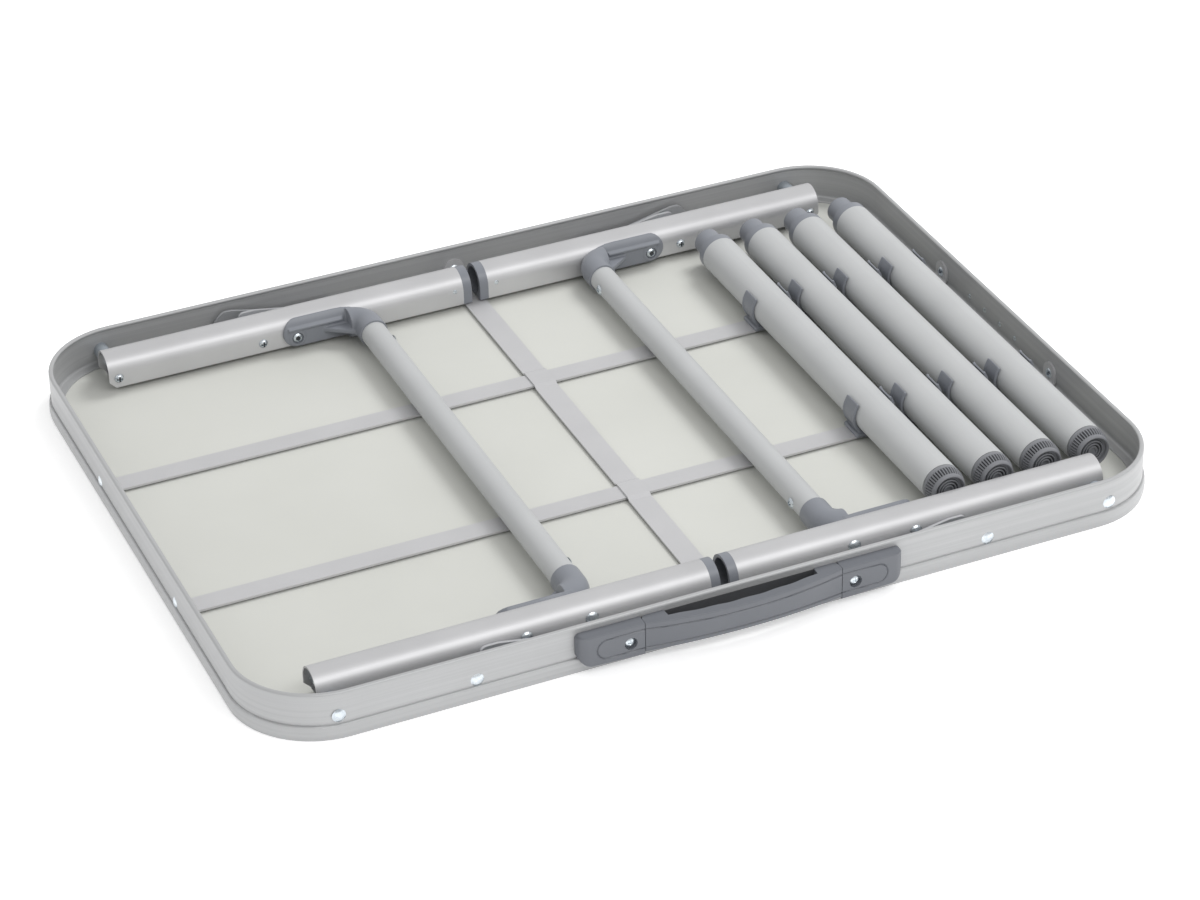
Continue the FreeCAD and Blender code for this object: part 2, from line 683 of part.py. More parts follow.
def brace_pins(x_side):
    """Shouldered pins in the rails that the inner brace links turn on."""
    x, z = RAIL_PIN_X, RAIL_PIN_Z
    link_outer = RAIL_LINK_Y + LINK_THICK
    pins = []
    for y_side, proud in ((1, PROUD_FAR), (-1, PROUD_NEAR)):
        pin = join([
            rod(PIN_R, (x, RAIL_IN_Y, z), (x, link_outer, z)),
            dome(RAIL_HEAD_R, proud, (x, RAIL_IN_Y, z), (0, -1, 0)),
            rod(PIN_SHOULDER_R, (x, RAIL_OUT_Y, z), (x, RAIL_LINK_Y - CLEAR, z)),
            Part.makeCone(PIN_R, PIN_R + PIN_FLARE, PIN_FLARE, Vector(x, link_outer - PIN_FLARE, z), AXIS_Y),
        ])
        pins.append(to_side(pin, x_side, y_side))
    return pins


# ---- folding braces ----

# At rest the braces lie folded between the rails and the rim. The rim link turns 131.95 degrees
# and the rail link 136.03 degrees on the rail while the frame folds out by 90 degrees, and the
# two links then stand in line.

def link_plate(path, y):
    """Flat far right link: the path runs from the top of its round inner end to the bottom of it."""
    steps = []
    for step in path:
        if len(step) == 2:
            steps.append((step[0], y, step[1]))
        else:
            steps.append(((step[0], y, step[1]), (step[2], y, step[3])))
    x, z, r = MIDDLE_X, MIDDLE_Z, LINK_END_R
    steps.append((x, y, z - r))
    steps.append(((x - r, y, z), (x, y, z + r)))
    return prism((x, y, z + r), steps, (0, LINK_THICK, 0))


def rim_link():
    """Far right outer link: turns on the rim rivet and carries the joint's spacer."""
    x, z = RIM_PIN_X, RIM_PIN_Z
    path = [
        (x - 51, z + 3.1), (x - 8, z + 13.1), (x - 1, z + 13.1),
        (x + 3.2, z + 10.5, x + 6.4, z + 6.9), (x + 9.2, z, x + 6, z - 6.4),
        (x + 3.5, z - 8.4, x, z - 9.1),
    ]
    outer = RIM_LINK_Y + LINK_THICK
    hole = rod(PIN_R + RUNNING, (x, RIM_LINK_Y - OVERRUN, z), (x, outer + OVERRUN, z))
    mx, mz = MIDDLE_X, MIDDLE_Z
    spacer_y = RAIL_LINK_Y + LINK_THICK + CLEAR
    return join([
        link_plate(path, RIM_LINK_Y).cut(hole),
        dome(LINK_HEAD_R, LINK_HEAD_HIGH, (mx, outer, mz), (0, 1, 0)),
        rod(LINK_JOINT_R, (mx, spacer_y, mz), (mx, RIM_LINK_Y, mz)),
    ])


def rail_link():
    """Far right inner link: turns on the rail pin, its rivet head on the rail side."""
    x, z = RAIL_PIN_X, RAIL_PIN_Z
    path = [
        (x - 6, z + 12.8), (x + 4, z + 12.8), (x + 8.4, z + 10.9, x + 9.6, z + 6),
        (x + 9.6, z - 3.5), (x + 7, z - 7.3, x + 1, z - 8.7),
    ]
    outer = RAIL_LINK_Y + LINK_THICK
    r = PIN_R + RUNNING
    deep = PIN_FLARE + RUNNING
    hole = rod(r, (x, RAIL_LINK_Y - OVERRUN, z), (x, outer + OVERRUN, z))
    sink = Part.makeCone(r, r + deep, deep, Vector(x, outer - deep, z), AXIS_Y)
    head = dome(LINK_HEAD_R, LINK_HEAD_HIGH, (MIDDLE_X, RAIL_LINK_Y, MIDDLE_Z), (0, -1, 0))
    return join([link_plate(path, RAIL_LINK_Y).cut(hole).cut(sink), head])


# ---- legs ----

def leg_tube(x):
    """Leg tube with a threaded end plate for the foot."""
    plate = LEG_NEAR_Y + END_PLATE
    tube = rod(LEG_R, (x, LEG_NEAR_Y, LEG_Z), (x, LEG_FAR_Y, LEG_Z))
    bore = rod(LEG_R - LEG_WALL, (x, plate, LEG_Z), (x, LEG_FAR_Y + 1, LEG_Z))
    thread = rod(FOOT_STEM_R + RUNNING, (x, LEG_NEAR_Y - 1, LEG_Z), (x, plate + 1, LEG_Z))
    return tube.cut(bore).cut(thread)


def leg_plug(x):
    """Plug in the leg's top end: insert, collar and the spigot that fits a rail socket."""
    collar = LEG_FAR_Y + COLLAR_LENGTH
    taper = collar + SPIGOT_LENGTH - SPIGOT_BEVEL
    return join([
        rod(LEG_R - LEG_WALL, (x, LEG_FAR_Y - PLUG_INSERT, LEG_Z), (x, LEG_FAR_Y, LEG_Z)),
        rod(LEG_R, (x, LEG_FAR_Y, LEG_Z), (x, collar, LEG_Z)),
        rod(SPIGOT_R, (x, collar, LEG_Z), (x, taper, LEG_Z)),
        Part.makeCone(SPIGOT_R, SPIGOT_R - 1.2, SPIGOT_BEVEL, Vector(x, taper, LEG_Z), AXIS_Y),
    ])


def leg_foot(x):
    """Screw-in levelling foot."""
    top = LEG_NEAR_Y - CLEAR
    taper = top - FOOT_COLLAR
    return join([
        rod(FOOT_STEM_R, (x, top, LEG_Z), (x, LEG_NEAR_Y + FOOT_STEM_LENGTH, LEG_Z)),
        rod(FOOT_R, (x, top, LEG_Z), (x, taper, LEG_Z)),
        Part.makeCone(FOOT_R, FOOT_END_R, taper - FOOT_END_Y, Vector(x, taper, LEG_Z), Vector(0, -1, 0)),
    ])


def leg_clips(x):
    """The two spring clips that hold one leg."""
    base_z = LEDGE_TOP + STRIP_THICK
    angle = math.radians(CLIP_ARM_ANGLE)
    reach = 2 * CLIP_OUTER_R
    side = reach * math.cos(angle)
    rise = LEG_Z + reach * math.sin(angle)
    sky = rise + reach
    clips = []
    for y in (STRIP_Y, -STRIP_Y):
        y0 = y - CLIP_LENGTH / 2
        y1 = y + CLIP_LENGTH / 2
        foot_0 = y - CLIP_BASE_LENGTH / 2
        foot_1 = y + CLIP_BASE_LENGTH / 2
        mouth = prism(
            (x, foot_0, LEG_Z),
            [(x + side, foot_0, rise), (x + side, foot_0, sky), (x - side, foot_0, sky),
             (x - side, foot_0, rise), (x, foot_0, LEG_Z)],
            (0, CLIP_BASE_LENGTH, 0))
        ring = rod(CLIP_OUTER_R, (x, y0, LEG_Z), (x, y1, LEG_Z)).cut(mouth)
        base = block(
            (x + CLIP_BASE_LOW_X, foot_0, base_z),
            (x + CLIP_BASE_HIGH_X, foot_1, base_z + CLIP_BASE_THICK))
        shoulder = block(
            (x - CLIP_SHOULDER_X, y0, base_z),
            (x + CLIP_SHOULDER_X, y1, LEG_Z - CLIP_SHOULDER_DROP))
        clip = join([ring, base, shoulder])
        clip = clip.cut(rod(CLIP_INNER_R, (x, foot_0 - 1, LEG_Z), (x, foot_1 + 1, LEG_Z)))
        clip = clip.cut(block((x - reach, foot_0 - 1, 0), (x + reach, foot_1 + 1, base_z)))
        clips.append(clip)
    return clips


# ---- handle ----

def handle_cap(frame):
    """Right end pad of the handle, screwed to the near wall over the rim's band."""
    r = HANDLE_CORNER_R
    k = r * (1 - math.sqrt(0.5))
    x0, x1 = HANDLE_SPLIT_X, HANDLE_END_X
    z0, z1 = HANDLE_BOTTOM, HANDLE_TOP
    y = -WALL_OUT_Y + 1.0
    steps = [
        (x1 - r, y, z0),
        ((x1 - k, y, z0 + k), (x1, y, z0 + r)),
        (x1, y, z1 - r),
        ((x1 - k, y, z1 - k), (x1 - r, y, z1)),
        (x0, y, z1),
        (x0, y, z0),
    ]
    pad = prism((x0, y, z0), steps, (0, HANDLE_FACE_Y - y, 0))
    seat = HANDLE_FACE_Y + HANDLE_BORE_DEPTH
    hx, hz = HANDLE_SCREW_X, HANDLE_SCREW_Z
    pad = pad.cut(rod(HANDLE_BORE_R, (hx, HANDLE_FACE_Y - 1, hz), (hx, seat, hz)))
    pad = pad.cut(rod(SCREW_R, (hx, HANDLE_FACE_Y - 1, hz), (hx, -WALL_IN_Y, hz)))
    return outside_of(pad, frame)


def outside_of(shape, frame):
    """The part of a handle piece that lies outside the rim."""
    inside = block((-HALF_X, -WALL_OUT_Y, 0), (HALF_X, 0, RIM_HEIGHT))
    pieces = shape.cut(inside).cut(frame).Solids
    return max(pieces, key=lambda s: s.Volume)


def handle_grip(frame):
    """Bowed grip between the end pads, with the finger gap behind it."""
    x, g, y = HANDLE_SPLIT_X, GRIP_GAP_X, -WALL_OUT_Y + 1.0
    z = GRIP_BOTTOM
    steps = [
        ((0, GRIP_BOW_Y, z), (x, HANDLE_FACE_Y, z)),
        (x, y, z),
        (g, y, z),
        ((0, GRIP_GAP_Y, z), (-g, y, z)),
        (-x, y, z),
        (-x, HANDLE_FACE_Y, z),
    ]
    bar = prism((-x, HANDLE_FACE_Y, z), steps, (0, 0, HANDLE_TOP - z))
    return outside_of(bar, frame)


def handle_screws():
    """Two screws that hold the handle to the rim."""
    seat = HANDLE_FACE_Y + HANDLE_BORE_DEPTH
    rim = seat - HANDLE_HEAD_HIGH
    z = HANDLE_SCREW_Z
    screws = []
    for x in (HANDLE_SCREW_X, -HANDLE_SCREW_X):
        screws.append(join([
            rod(SCREW_R, (x, seat, z), (x, -WALL_IN_Y + 3, z)),
            rod(HANDLE_HEAD_R, (x, rim, z), (x, seat, z)),
            dome(HANDLE_HEAD_R, HANDLE_HEAD_HIGH, (x, rim, z), (0, -1, 0)),
        ]))
    return screws


# ---- the whole table ----

def build():
    """Every node by name."""
    nodes = {}
    frame = plain_edge_frame()
    nodes["top_panel"] = rounded_plate(WALL_INNER_INSET, 0.0, PANEL_THICK)
    nodes["edge_frame"] = drill(frame, rim_holes())
    nodes["support_strip_far"] = support_strip(STRIP_Y)
    nodes["support_strip_near"] = support_strip(-STRIP_Y)
    nodes["cross_strip"] = cross_strip()
    nodes["strip_bolts"] = strip_bolts(nodes["edge_frame"])
    nodes["wall_rivets"] = wall_rivets()
    nodes["pivot_bolts"] = pivot_bolts(frame)
    nodes["pivot_spacers"] = pivot_spacers(frame)
    nodes["brace_rivets"] = brace_rivets(nodes["edge_frame"])
    cap = handle_cap(frame)
    nodes["handle_cap_right"] = cap
    nodes["handle_cap_left"] = cap.mirror(ORIGIN, AXIS_X)
    nodes["handle_grip"] = handle_grip(frame)
    nodes["handle_screws"] = handle_screws()
    pieces = {
        "rail": rail(),
        "socket": leg_socket(),
        "elbow": elbow(),
        "rim_link": rim_link(),
        "rail_link": rail_link(),
    }
    for x_name, x_side in (("left", -1), ("right", 1)):
        for y_name, y_side in (("far", 1), ("near", -1)):
            for name, shape in pieces.items():
                nodes[name + "_" + x_name + "_" + y_name] = to_side(shape, x_side, y_side)
        nodes["crossbar_" + x_name] = to_side(crossbar(), x_side, 1)
        nodes["frame_screws_" + x_name] = frame_screws(x_side)
        nodes["brace_pins_" + x_name] = brace_pins(x_side)
    for number, x in enumerate(LEG_X, start=1):
        nodes["leg_tube_" + str(number)] = leg_tube(x)
        nodes["leg_plug_" + str(number)] = leg_plug(x)
        nodes["leg_foot_" + str(number)] = leg_foot(x)
        nodes["leg_clips_" + str(number)] = leg_clips(x)
    return nodes


def main():
    os.makedirs("parts", exist_ok=True)
    for name, shape in build().items():
        if isinstance(shape, list):
            shape = Part.makeCompound(shape)
        box = shape.optimalBoundingBox(False)
        print("%-22s solids %d valid %s volume %9.0f  x %7.1f %7.1f  y %7.1f %7.1f  z %6.1f %6.1f" % (
            name, len(shape.Solids), shape.isValid(), shape.Volume,
            box.XMin, box.XMax, box.YMin, box.YMax, box.ZMin, box.ZMax))
        shape.exportStep("parts/" + name + ".step")


main()
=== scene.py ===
import json
import math

import bmesh
import bpy
from mathutils import Matrix, Vector


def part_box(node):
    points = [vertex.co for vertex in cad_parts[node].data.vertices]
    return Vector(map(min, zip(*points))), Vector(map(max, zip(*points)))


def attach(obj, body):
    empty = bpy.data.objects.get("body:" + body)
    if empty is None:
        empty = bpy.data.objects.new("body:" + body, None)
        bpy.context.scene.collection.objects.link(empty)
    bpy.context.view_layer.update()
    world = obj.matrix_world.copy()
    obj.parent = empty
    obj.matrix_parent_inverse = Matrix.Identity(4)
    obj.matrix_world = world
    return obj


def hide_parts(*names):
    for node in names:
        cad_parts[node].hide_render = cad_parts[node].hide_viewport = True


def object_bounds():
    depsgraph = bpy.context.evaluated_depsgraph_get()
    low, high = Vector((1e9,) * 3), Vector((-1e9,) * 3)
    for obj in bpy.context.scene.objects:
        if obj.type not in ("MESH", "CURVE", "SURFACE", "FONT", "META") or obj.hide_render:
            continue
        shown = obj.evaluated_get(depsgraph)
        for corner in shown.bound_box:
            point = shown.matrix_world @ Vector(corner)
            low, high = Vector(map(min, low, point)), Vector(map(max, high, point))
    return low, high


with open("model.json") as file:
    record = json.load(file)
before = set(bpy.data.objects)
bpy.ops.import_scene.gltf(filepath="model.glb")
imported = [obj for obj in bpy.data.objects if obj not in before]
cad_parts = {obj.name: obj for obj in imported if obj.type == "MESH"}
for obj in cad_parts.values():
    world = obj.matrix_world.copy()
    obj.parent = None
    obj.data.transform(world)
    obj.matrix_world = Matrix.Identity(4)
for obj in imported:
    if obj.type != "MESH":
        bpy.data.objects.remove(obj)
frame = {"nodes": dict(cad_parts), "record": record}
cad_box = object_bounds()
nodes = frame["nodes"]

MM = 0.001


# ---- materials ----

NOISE_LOW, NOISE_HIGH = 0.3, 0.7                # span of a noise value that is spread over a range
MIX_FACTOR, MIX_FIRST, MIX_SECOND = 0, 6, 7     # colour inputs of a Mix node
MIX_COLOUR = 2                                  # its colour output
DRAWN_ACROSS, DRAWN_ALONG = 2600.0, 24.0        # noise scale across and along drawing lines
ROLLED_SCALE = (1.6, 1.6, 340.0)                # noise scale of level rolling lines


def new_material(name):
    """New node material, its tree and its shader."""
    material = bpy.data.materials.new(name)
    material.use_nodes = True
    tree = material.node_tree
    shader = tree.nodes["Principled BSDF"]
    return material, tree, shader


def add(tree, kind, **values):
    """Node of a kind; in_NAME sets the input of that name, any other value a property."""
    node = tree.nodes.new(kind)
    for key, value in values.items():
        if key.startswith("in_"):
            name = key[3:].replace("_", " ")
            node.inputs[name].default_value = value
        else:
            setattr(node, key, value)
    return node


def object_coordinates(tree, scale):
    """Object coordinates stretched by a scale along each axis."""
    where = add(tree, "ShaderNodeTexCoord")
    mapping = add(tree, "ShaderNodeMapping")
    mapping.inputs["Scale"].default_value = scale
    tree.links.new(where.outputs["Object"], mapping.inputs["Vector"])
    return mapping.outputs["Vector"]


def noise(tree, vector, scale, detail=3.0, rough=0.5):
    node = add(tree, "ShaderNodeTexNoise", in_Scale=scale, in_Detail=detail, in_Roughness=rough)
    tree.links.new(vector, node.inputs["Vector"])
    return node.outputs["Fac"]


def spread(tree, value, low, high):
    """Map the middle of a noise value's span to a range."""
    node = add(tree, "ShaderNodeMapRange", in_To_Min=low, in_To_Max=high)
    node.inputs["From Min"].default_value = NOISE_LOW
    node.inputs["From Max"].default_value = NOISE_HIGH
    tree.links.new(value, node.inputs["Value"])
    return node.outputs["Result"]


def blend_colours(tree, factor, dark, light):
    node = add(tree, "ShaderNodeMix", data_type="RGBA")
    node.inputs[MIX_FIRST].default_value = (*dark, 1)
    node.inputs[MIX_SECOND].default_value = (*light, 1)
    tree.links.new(factor, node.inputs[MIX_FACTOR])
    return node.outputs[MIX_COLOUR]


def tint(tree, shader, value, dark, light):
    """Base colour that drifts between two colours with a noise value."""
    colour = blend_colours(tree, spread(tree, value, 0, 1), dark, light)
    tree.links.new(colour, shader.inputs["Base Color"])


def bump(tree, shader, height, strength, distance):
    node = add(tree, "ShaderNodeBump", in_Strength=strength, in_Distance=distance)
    tree.links.new(height, node.inputs["Height"])
    tree.links.new(node.outputs["Normal"], shader.inputs["Normal"])


def metal(name, dark, light, rough, along, metallic=1.0, grain=0.15):
    """Drawn or rolled aluminium: fine lines along one axis and faint cloudy toning."""
    material, tree, shader = new_material(name)
    shader.inputs["Metallic"].default_value = metallic
    fine = [DRAWN_ACROSS] * 3
    fine["XYZ".index(along)] = DRAWN_ALONG
    lines = noise(tree, object_coordinates(tree, fine), 1.0, 4.0)
    clouds = noise(tree, object_coordinates(tree, (1, 1, 1)), 22.0, 4.0)
    tint(tree, shader, clouds, dark, light)
    tree.links.new(spread(tree, lines, rough - 0.03, rough + 0.03), shader.inputs["Roughness"])
    bump(tree, shader, lines, grain, 0.00003)
    return material


def coated(name, dark, light, rough, metallic):
    """Satin rolled profile: level rolling lines over a very fine orange-peel surface."""
    material, tree, shader = new_material(name)
    shader.inputs["Metallic"].default_value = metallic
    place = object_coordinates(tree, (1, 1, 1))
    clouds = noise(tree, place, 14.0, 5.0)
    peel = noise(tree, place, 900.0, 2.0)
    rolled = noise(tree, object_coordinates(tree, ROLLED_SCALE), 1.0, 4.0, 0.6)
    tone = add(tree, "ShaderNodeMath", operation="MULTIPLY")
    tree.links.new(spread(tree, clouds, 0.6, 1), tone.inputs[0])
    tree.links.new(spread(tree, rolled, 0, 1), tone.inputs[1])
    tree.links.new(blend_colours(tree, tone.outputs[0], dark, light), shader.inputs["Base Color"])
    tree.links.new(spread(tree, peel, rough - 0.04, rough + 0.05), shader.inputs["Roughness"])
    bump(tree, shader, rolled, 0.10, 0.00012)
    return material


def moulded(name, dark, light, rough):
    """Injection-moulded plastic with a fine spark-eroded texture and slight toning."""
    material, tree, shader = new_material(name)
    place = object_coordinates(tree, (1, 1, 1))
    clouds = noise(tree, place, 30.0, 4.0)
    texture = noise(tree, place, 1500.0, 3.0, 0.6)
    tint(tree, shader, clouds, dark, light)
    tree.links.new(spread(tree, texture, rough - 0.06, rough + 0.06), shader.inputs["Roughness"])
    bump(tree, shader, texture, 0.25, 0.00008)
    return material


def laminate(name, dark, light):
    """Light grey melamine face: faint fleck, soft sheen and a fine pore texture."""
    material, tree, shader = new_material(name)
    place = object_coordinates(tree, (1, 1, 1))
    clouds = noise(tree, place, 6.0, 5.0)
    pores = noise(tree, place, 420.0, 3.0, 0.7)
    tint(tree, shader, clouds, dark, light)
    tree.links.new(spread(tree, pores, 0.46, 0.56), shader.inputs["Roughness"])
    bump(tree, shader, pores, 0.18, 0.00005)
    return material


def zinc(name):
    """Zinc plating: bluish silver with soft mottling and tiny wear specks."""
    material, tree, shader = new_material(name)
    shader.inputs["Metallic"].default_value = 1.0
    place = object_coordinates(tree, (1, 1, 1))
    clouds = noise(tree, place, 260.0, 4.0)
    tint(tree, shader, clouds, (0.52, 0.57, 0.62), (0.78, 0.83, 0.86))
    tree.links.new(spread(tree, clouds, 0.18, 0.34), shader.inputs["Roughness"])
    bump(tree, shader, clouds, 0.1, 0.00005)
    return material


LOOKS = {
    "laminate_board": laminate("laminate_grey", (0.545, 0.55, 0.517), (0.58, 0.585, 0.552)),
    "rim_aluminium": coated("rim_silver", (0.405, 0.41, 0.415), (0.50, 0.505, 0.51), 0.43, 0.3),
    "strip_aluminium": metal("strip_silver", (0.56, 0.56, 0.57), (0.59, 0.59, 0.60), 0.5, "X", 0.4, 0.06),
    "link_aluminium": metal("link_silver", (0.56, 0.57, 0.59), (0.62, 0.63, 0.65), 0.4, "X", 0.7, 0.08),
    "rail_aluminium": metal("rail_silver", (0.58, 0.58, 0.59), (0.62, 0.62, 0.63), 0.46, "X", 0.58, 0.07),
    "tube_aluminium": metal("tube_silver", (0.525, 0.535, 0.54), (0.55, 0.56, 0.565), 0.62, "Y", 0.35, 0.05),
    "moulded_plastic": moulded("plastic_blue_grey", (0.20, 0.212, 0.238), (0.217, 0.229, 0.256), 0.38),
    "foot_plastic": moulded("plastic_foot_grey", (0.185, 0.19, 0.205), (0.205, 0.21, 0.225), 0.42),
    "zinc_steel": zinc("zinc_plated"),
}
HANDLE_LOOK = moulded("plastic_handle_grey", (0.125, 0.133, 0.15), (0.137, 0.145, 0.162), 0.34)
# Painted shade: near-black plastic on the faces low in the feet's grooves and rings.
GROOVE_SHADE_LOOK = moulded("painted_groove_shade", (0.035, 0.037, 0.041), (0.045, 0.047, 0.051), 0.6)
# Painted shade: near-black plastic for discs low in the screw recesses.
SOCKET_SHADE_LOOK = moulded("painted_socket_shade", (0.02, 0.022, 0.024), (0.05, 0.055, 0.06), 0.4)
# Dark grey for the plate on the wall in the finger gap behind the grip.
GAP_PLATE_LOOK = moulded("dark_gap_plate", (0.058, 0.060, 0.064), (0.07, 0.072, 0.077), 0.55)
SPACER_LOOK = moulded("spacer_blue_grey", (0.25, 0.28, 0.31), (0.28, 0.31, 0.34), 0.4)
SLOT_OF = {s["node"]: s["material_slot"] for s in frame["record"]["subparts"]}


def paint(obj, slot_name, look=None):
    """Give an object its slot's look, or one of its own."""
    obj.data.materials.clear()
    obj.data.materials.append(look or LOOKS[slot_name])


for node_name, node_object in nodes.items():
    paint(node_object, SLOT_OF[node_name], SPACER_LOOK if node_name == "pivot_spacers" else None)


# ---- places read from the frame, in millimetres ----

WELD = 0.001


def corners(node):
    """Lowest and highest corner of a CAD node."""
    low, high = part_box(node)
    return low / MM, high / MM


def loose_parts(node):
    """Lowest and highest corner of each separate solid in a CAD node."""
    mesh = bmesh.new()
    mesh.from_mesh(nodes[node].data)
    bmesh.ops.remove_doubles(mesh, verts=mesh.verts, dist=WELD * MM)
    waiting = set(mesh.verts)
    boxes = []
    while waiting:
        found = [waiting.pop()]
        for vert in found:
            for edge in vert.link_edges:
                other = edge.other_vert(vert)
                if other in waiting:
                    waiting.remove(other)
                    found.append(other)
        places = [vert.co / MM for vert in found]
        low = Vector([min(p[k] for p in places) for k in range(3)])
        high = Vector([max(p[k] for p in places) for k in range(3)])
        boxes.append((low, high))
    mesh.free()
    return sorted(boxes, key=lambda b: tuple(round(c, 2) for c in b[0]))


# ---- closed shapes, each a list of points in millimetres and a list of faces ----

def joined(shapes):
    """Several shapes as one."""
    points, faces = [], []
    for more_points, more_faces in shapes:
        start = len(points)
        points.extend(more_points)
        faces.extend([tuple(i + start for i in face) for face in more_faces])
    return points, faces


def placed(shape, matrix):
    """The shape after a matrix, its faces turned over if the matrix mirrors it."""
    points, faces = shape
    moved = [tuple(matrix @ Vector(p)) for p in points]
    if matrix.determinant() < 0:
        faces = [tuple(reversed(face)) for face in faces]
    return moved, faces


def shifted(shape, x, y, z):
    return placed(shape, Matrix.Translation((x, y, z)))


def mirrored(shape, x_side, y_side):
    return placed(shape, Matrix.Diagonal((x_side, y_side, 1, 1)))


def tunnel(rings):
    """Closed skin over rings of equal length, with a flat face at each end."""
    count = len(rings[0])
    points = [p for ring in rings for p in ring]
    faces = []
    for k in range(len(rings) - 1):
        for i in range(count):
            j = (i + 1) % count
            faces.append((k * count + i, k * count + j, (k + 1) * count + j, (k + 1) * count + i))
    faces.append(tuple(reversed(range(count))))
    faces.append(tuple(range((len(rings) - 1) * count, len(rings) * count)))
    return points, faces


def bar_along_y(outline, low, high):
    """Outline of (x, z) points drawn along Y."""
    return tunnel([[(x, low, z) for x, z in outline], [(x, high, z) for x, z in outline]])


def brick(low, high):
    x0, y0, z0 = low
    x1, y1, z1 = high
    return bar_along_y([(x0, z0), (x1, z0), (x1, z1), (x0, z1)], y0, y1)


def turns(steps):
    """Angles evenly spaced over a full turn."""
    return [2 * math.pi * k / steps for k in range(steps)]


def disc_bar(radius, start, end, steps=64):
    """Round bar between two points."""
    axis = Vector(end) - Vector(start)
    turn = axis.to_track_quat("Z", "Y").to_matrix().to_4x4()
    ring = [(radius * math.cos(a), radius * math.sin(a)) for a in turns(steps)]
    shape = tunnel([[(x, y, 0) for x, y in ring], [(x, y, axis.length) for x, y in ring]])
    return placed(shape, Matrix.Translation(start) @ turn)


def pipe_along_y(radius, wall, low, high, steps=96):
    """Hollow round tube along Y, centred on the origin in X and Z."""
    sections = [(radius, low), (radius, high), (radius - wall, high), (radius - wall, low)]
    points = [(r * math.cos(a), y, r * math.sin(a)) for r, y in sections for a in turns(steps)]
    faces = []
    for k in range(len(sections)):
        n = (k + 1) % len(sections)
        for i in range(steps):
            j = (i + 1) % steps
            faces.append((k * steps + j, k * steps + i, n * steps + i, n * steps + j))
    return points, faces


def turned(profile, steps, height_at=None):
    """Skin turned round Z from (radius, height) pairs; the first and last radius are 0.

    height_at(x, y, z) may move a point up or down, which presses a recess into a head."""
    points = [(0, 0, profile[0][1])]
    for radius, z in profile[1:-1]:
        points.extend([(radius * math.cos(a), radius * math.sin(a), z) for a in turns(steps)])
    points.append((0, 0, profile[-1][1]))
    if height_at:
        points = [(x, y, height_at(x, y, z)) for x, y, z in points]
    last = len(points) - 1
    rings = len(profile) - 2
    faces = []
    for i in range(steps):
        j = (i + 1) % steps
        faces.append((0, 1 + i, 1 + j))
        for k in range(rings - 1):
            a = 1 + k * steps
            b = a + steps
            faces.append((a + i, b + i, b + j, a + j))
        a = 1 + (rings - 1) * steps
        faces.append((a + j, a + i, last))
    return points, faces


def facing(shape, place, direction):
    """A shape modelled along +Z, moved so that its Z points in a direction."""
    turn = Vector(direction).to_track_quat("Z", "Y").to_matrix().to_4x4()
    return placed(shape, Matrix.Translation(place) @ turn)


# ---- from shapes to pieces ----

VOXEL = 0.6


def new_object(name, data):
    """Object with its data, put into the scene."""
    obj = bpy.data.objects.new(name, data)
    bpy.context.scene.collection.objects.link(obj)
    return obj


def mesh_of(name, shape):
    """Mesh in metres of a shape in millimetres."""
    points, faces = shape
    mesh = bpy.data.meshes.new(name)
    mesh.from_pydata([tuple(c * MM for c in p) for p in points], [], faces)
    return mesh


def scratch_object(shape):
    return new_object("scratch", mesh_of("scratch", shape))


def settle(obj, cutters=()):
    """Shape of an object after its modifiers; the object and its cutters are removed."""
    bpy.context.view_layer.update()
    graph = bpy.context.evaluated_depsgraph_get()
    mesh = bpy.data.meshes.new_from_object(obj.evaluated_get(graph))
    shape = ([tuple(v.co / MM) for v in mesh.vertices], [tuple(p.vertices) for p in mesh.polygons])
    for old in [obj, *cutters]:
        bpy.data.objects.remove(old)
    return shape


def cut(shape, tools):
    """Shape less the tools."""
    obj = scratch_object(shape)
    cutters = []
    for tool in tools:
        cutter = scratch_object(tool)
        modifier = obj.modifiers.new("cut", "BOOLEAN")
        modifier.operation = "DIFFERENCE"
        modifier.solver = "EXACT"
        modifier.object = cutter
        cutters.append(cutter)
    return settle(obj, cutters)


def moulded_shape(shapes, passes):
    """Overlapping shapes fused by an even remesh and softened in some passes, as a moulding is."""
    obj = scratch_object(joined(shapes))
    remesh = obj.modifiers.new("remesh", "REMESH")
    remesh.mode = "VOXEL"
    remesh.voxel_size = VOXEL * MM
    smooth = obj.modifiers.new("smooth", "SMOOTH")
    smooth.factor = 0.5
    smooth.iterations = passes
    return settle(obj)


def make_piece(name, shape, body, slot_name, stands_for, sharp=35.0, look=None):
    """Visible piece that rides on a body and stands for a CAD node.

    Edges that turn by more than sharp, in degrees, stay crisp."""
    mesh = mesh_of(name, shape)
    mesh.validate()
    mesh.polygons.foreach_set("use_smooth", [True] * len(mesh.polygons))
    mesh.set_sharp_from_angle(angle=math.radians(sharp))
    piece = new_object(name, mesh)
    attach(piece, body)
    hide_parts(stands_for)
    paint(piece, slot_name, look)
    return piece


# ---- the rail's section, which the elbows hug ----

RAIL_LOW, RAIL_HIGH = corners("rail_right_far")
RAIL_HALF = (RAIL_HIGH.y - RAIL_LOW.y) / 2
RAIL_Y = (RAIL_HIGH.y + RAIL_LOW.y) / 2
RAIL_ARC_Z = RAIL_HIGH.z - RAIL_HALF
RAIL_FACE = RAIL_LOW.y


def arch(grow, angle_low, angle_high, steps):
    """(y, z) points over the rail's half-round top, from its inner side."""
    radius = RAIL_HALF + grow
    points = []
    for k in range(steps + 1):
        a = math.radians(angle_low + (angle_high - angle_low) * k / steps)
        points.append((RAIL_Y - radius * math.cos(a), RAIL_ARC_Z + radius * math.sin(a)))
    return points


def rail_bar(grow, x0, x1):
    """Solid bar of the rail's section, grown by a little."""
    outline = [(RAIL_Y + RAIL_HALF + grow, RAIL_LOW.z - grow), (RAIL_FACE - grow, RAIL_LOW.z - grow)]
    outline += arch(grow, 0, 180, 48)
    return tunnel([[(x0, y, z) for y, z in outline], [(x1, y, z) for y, z in outline]])


# ---- elbows ----

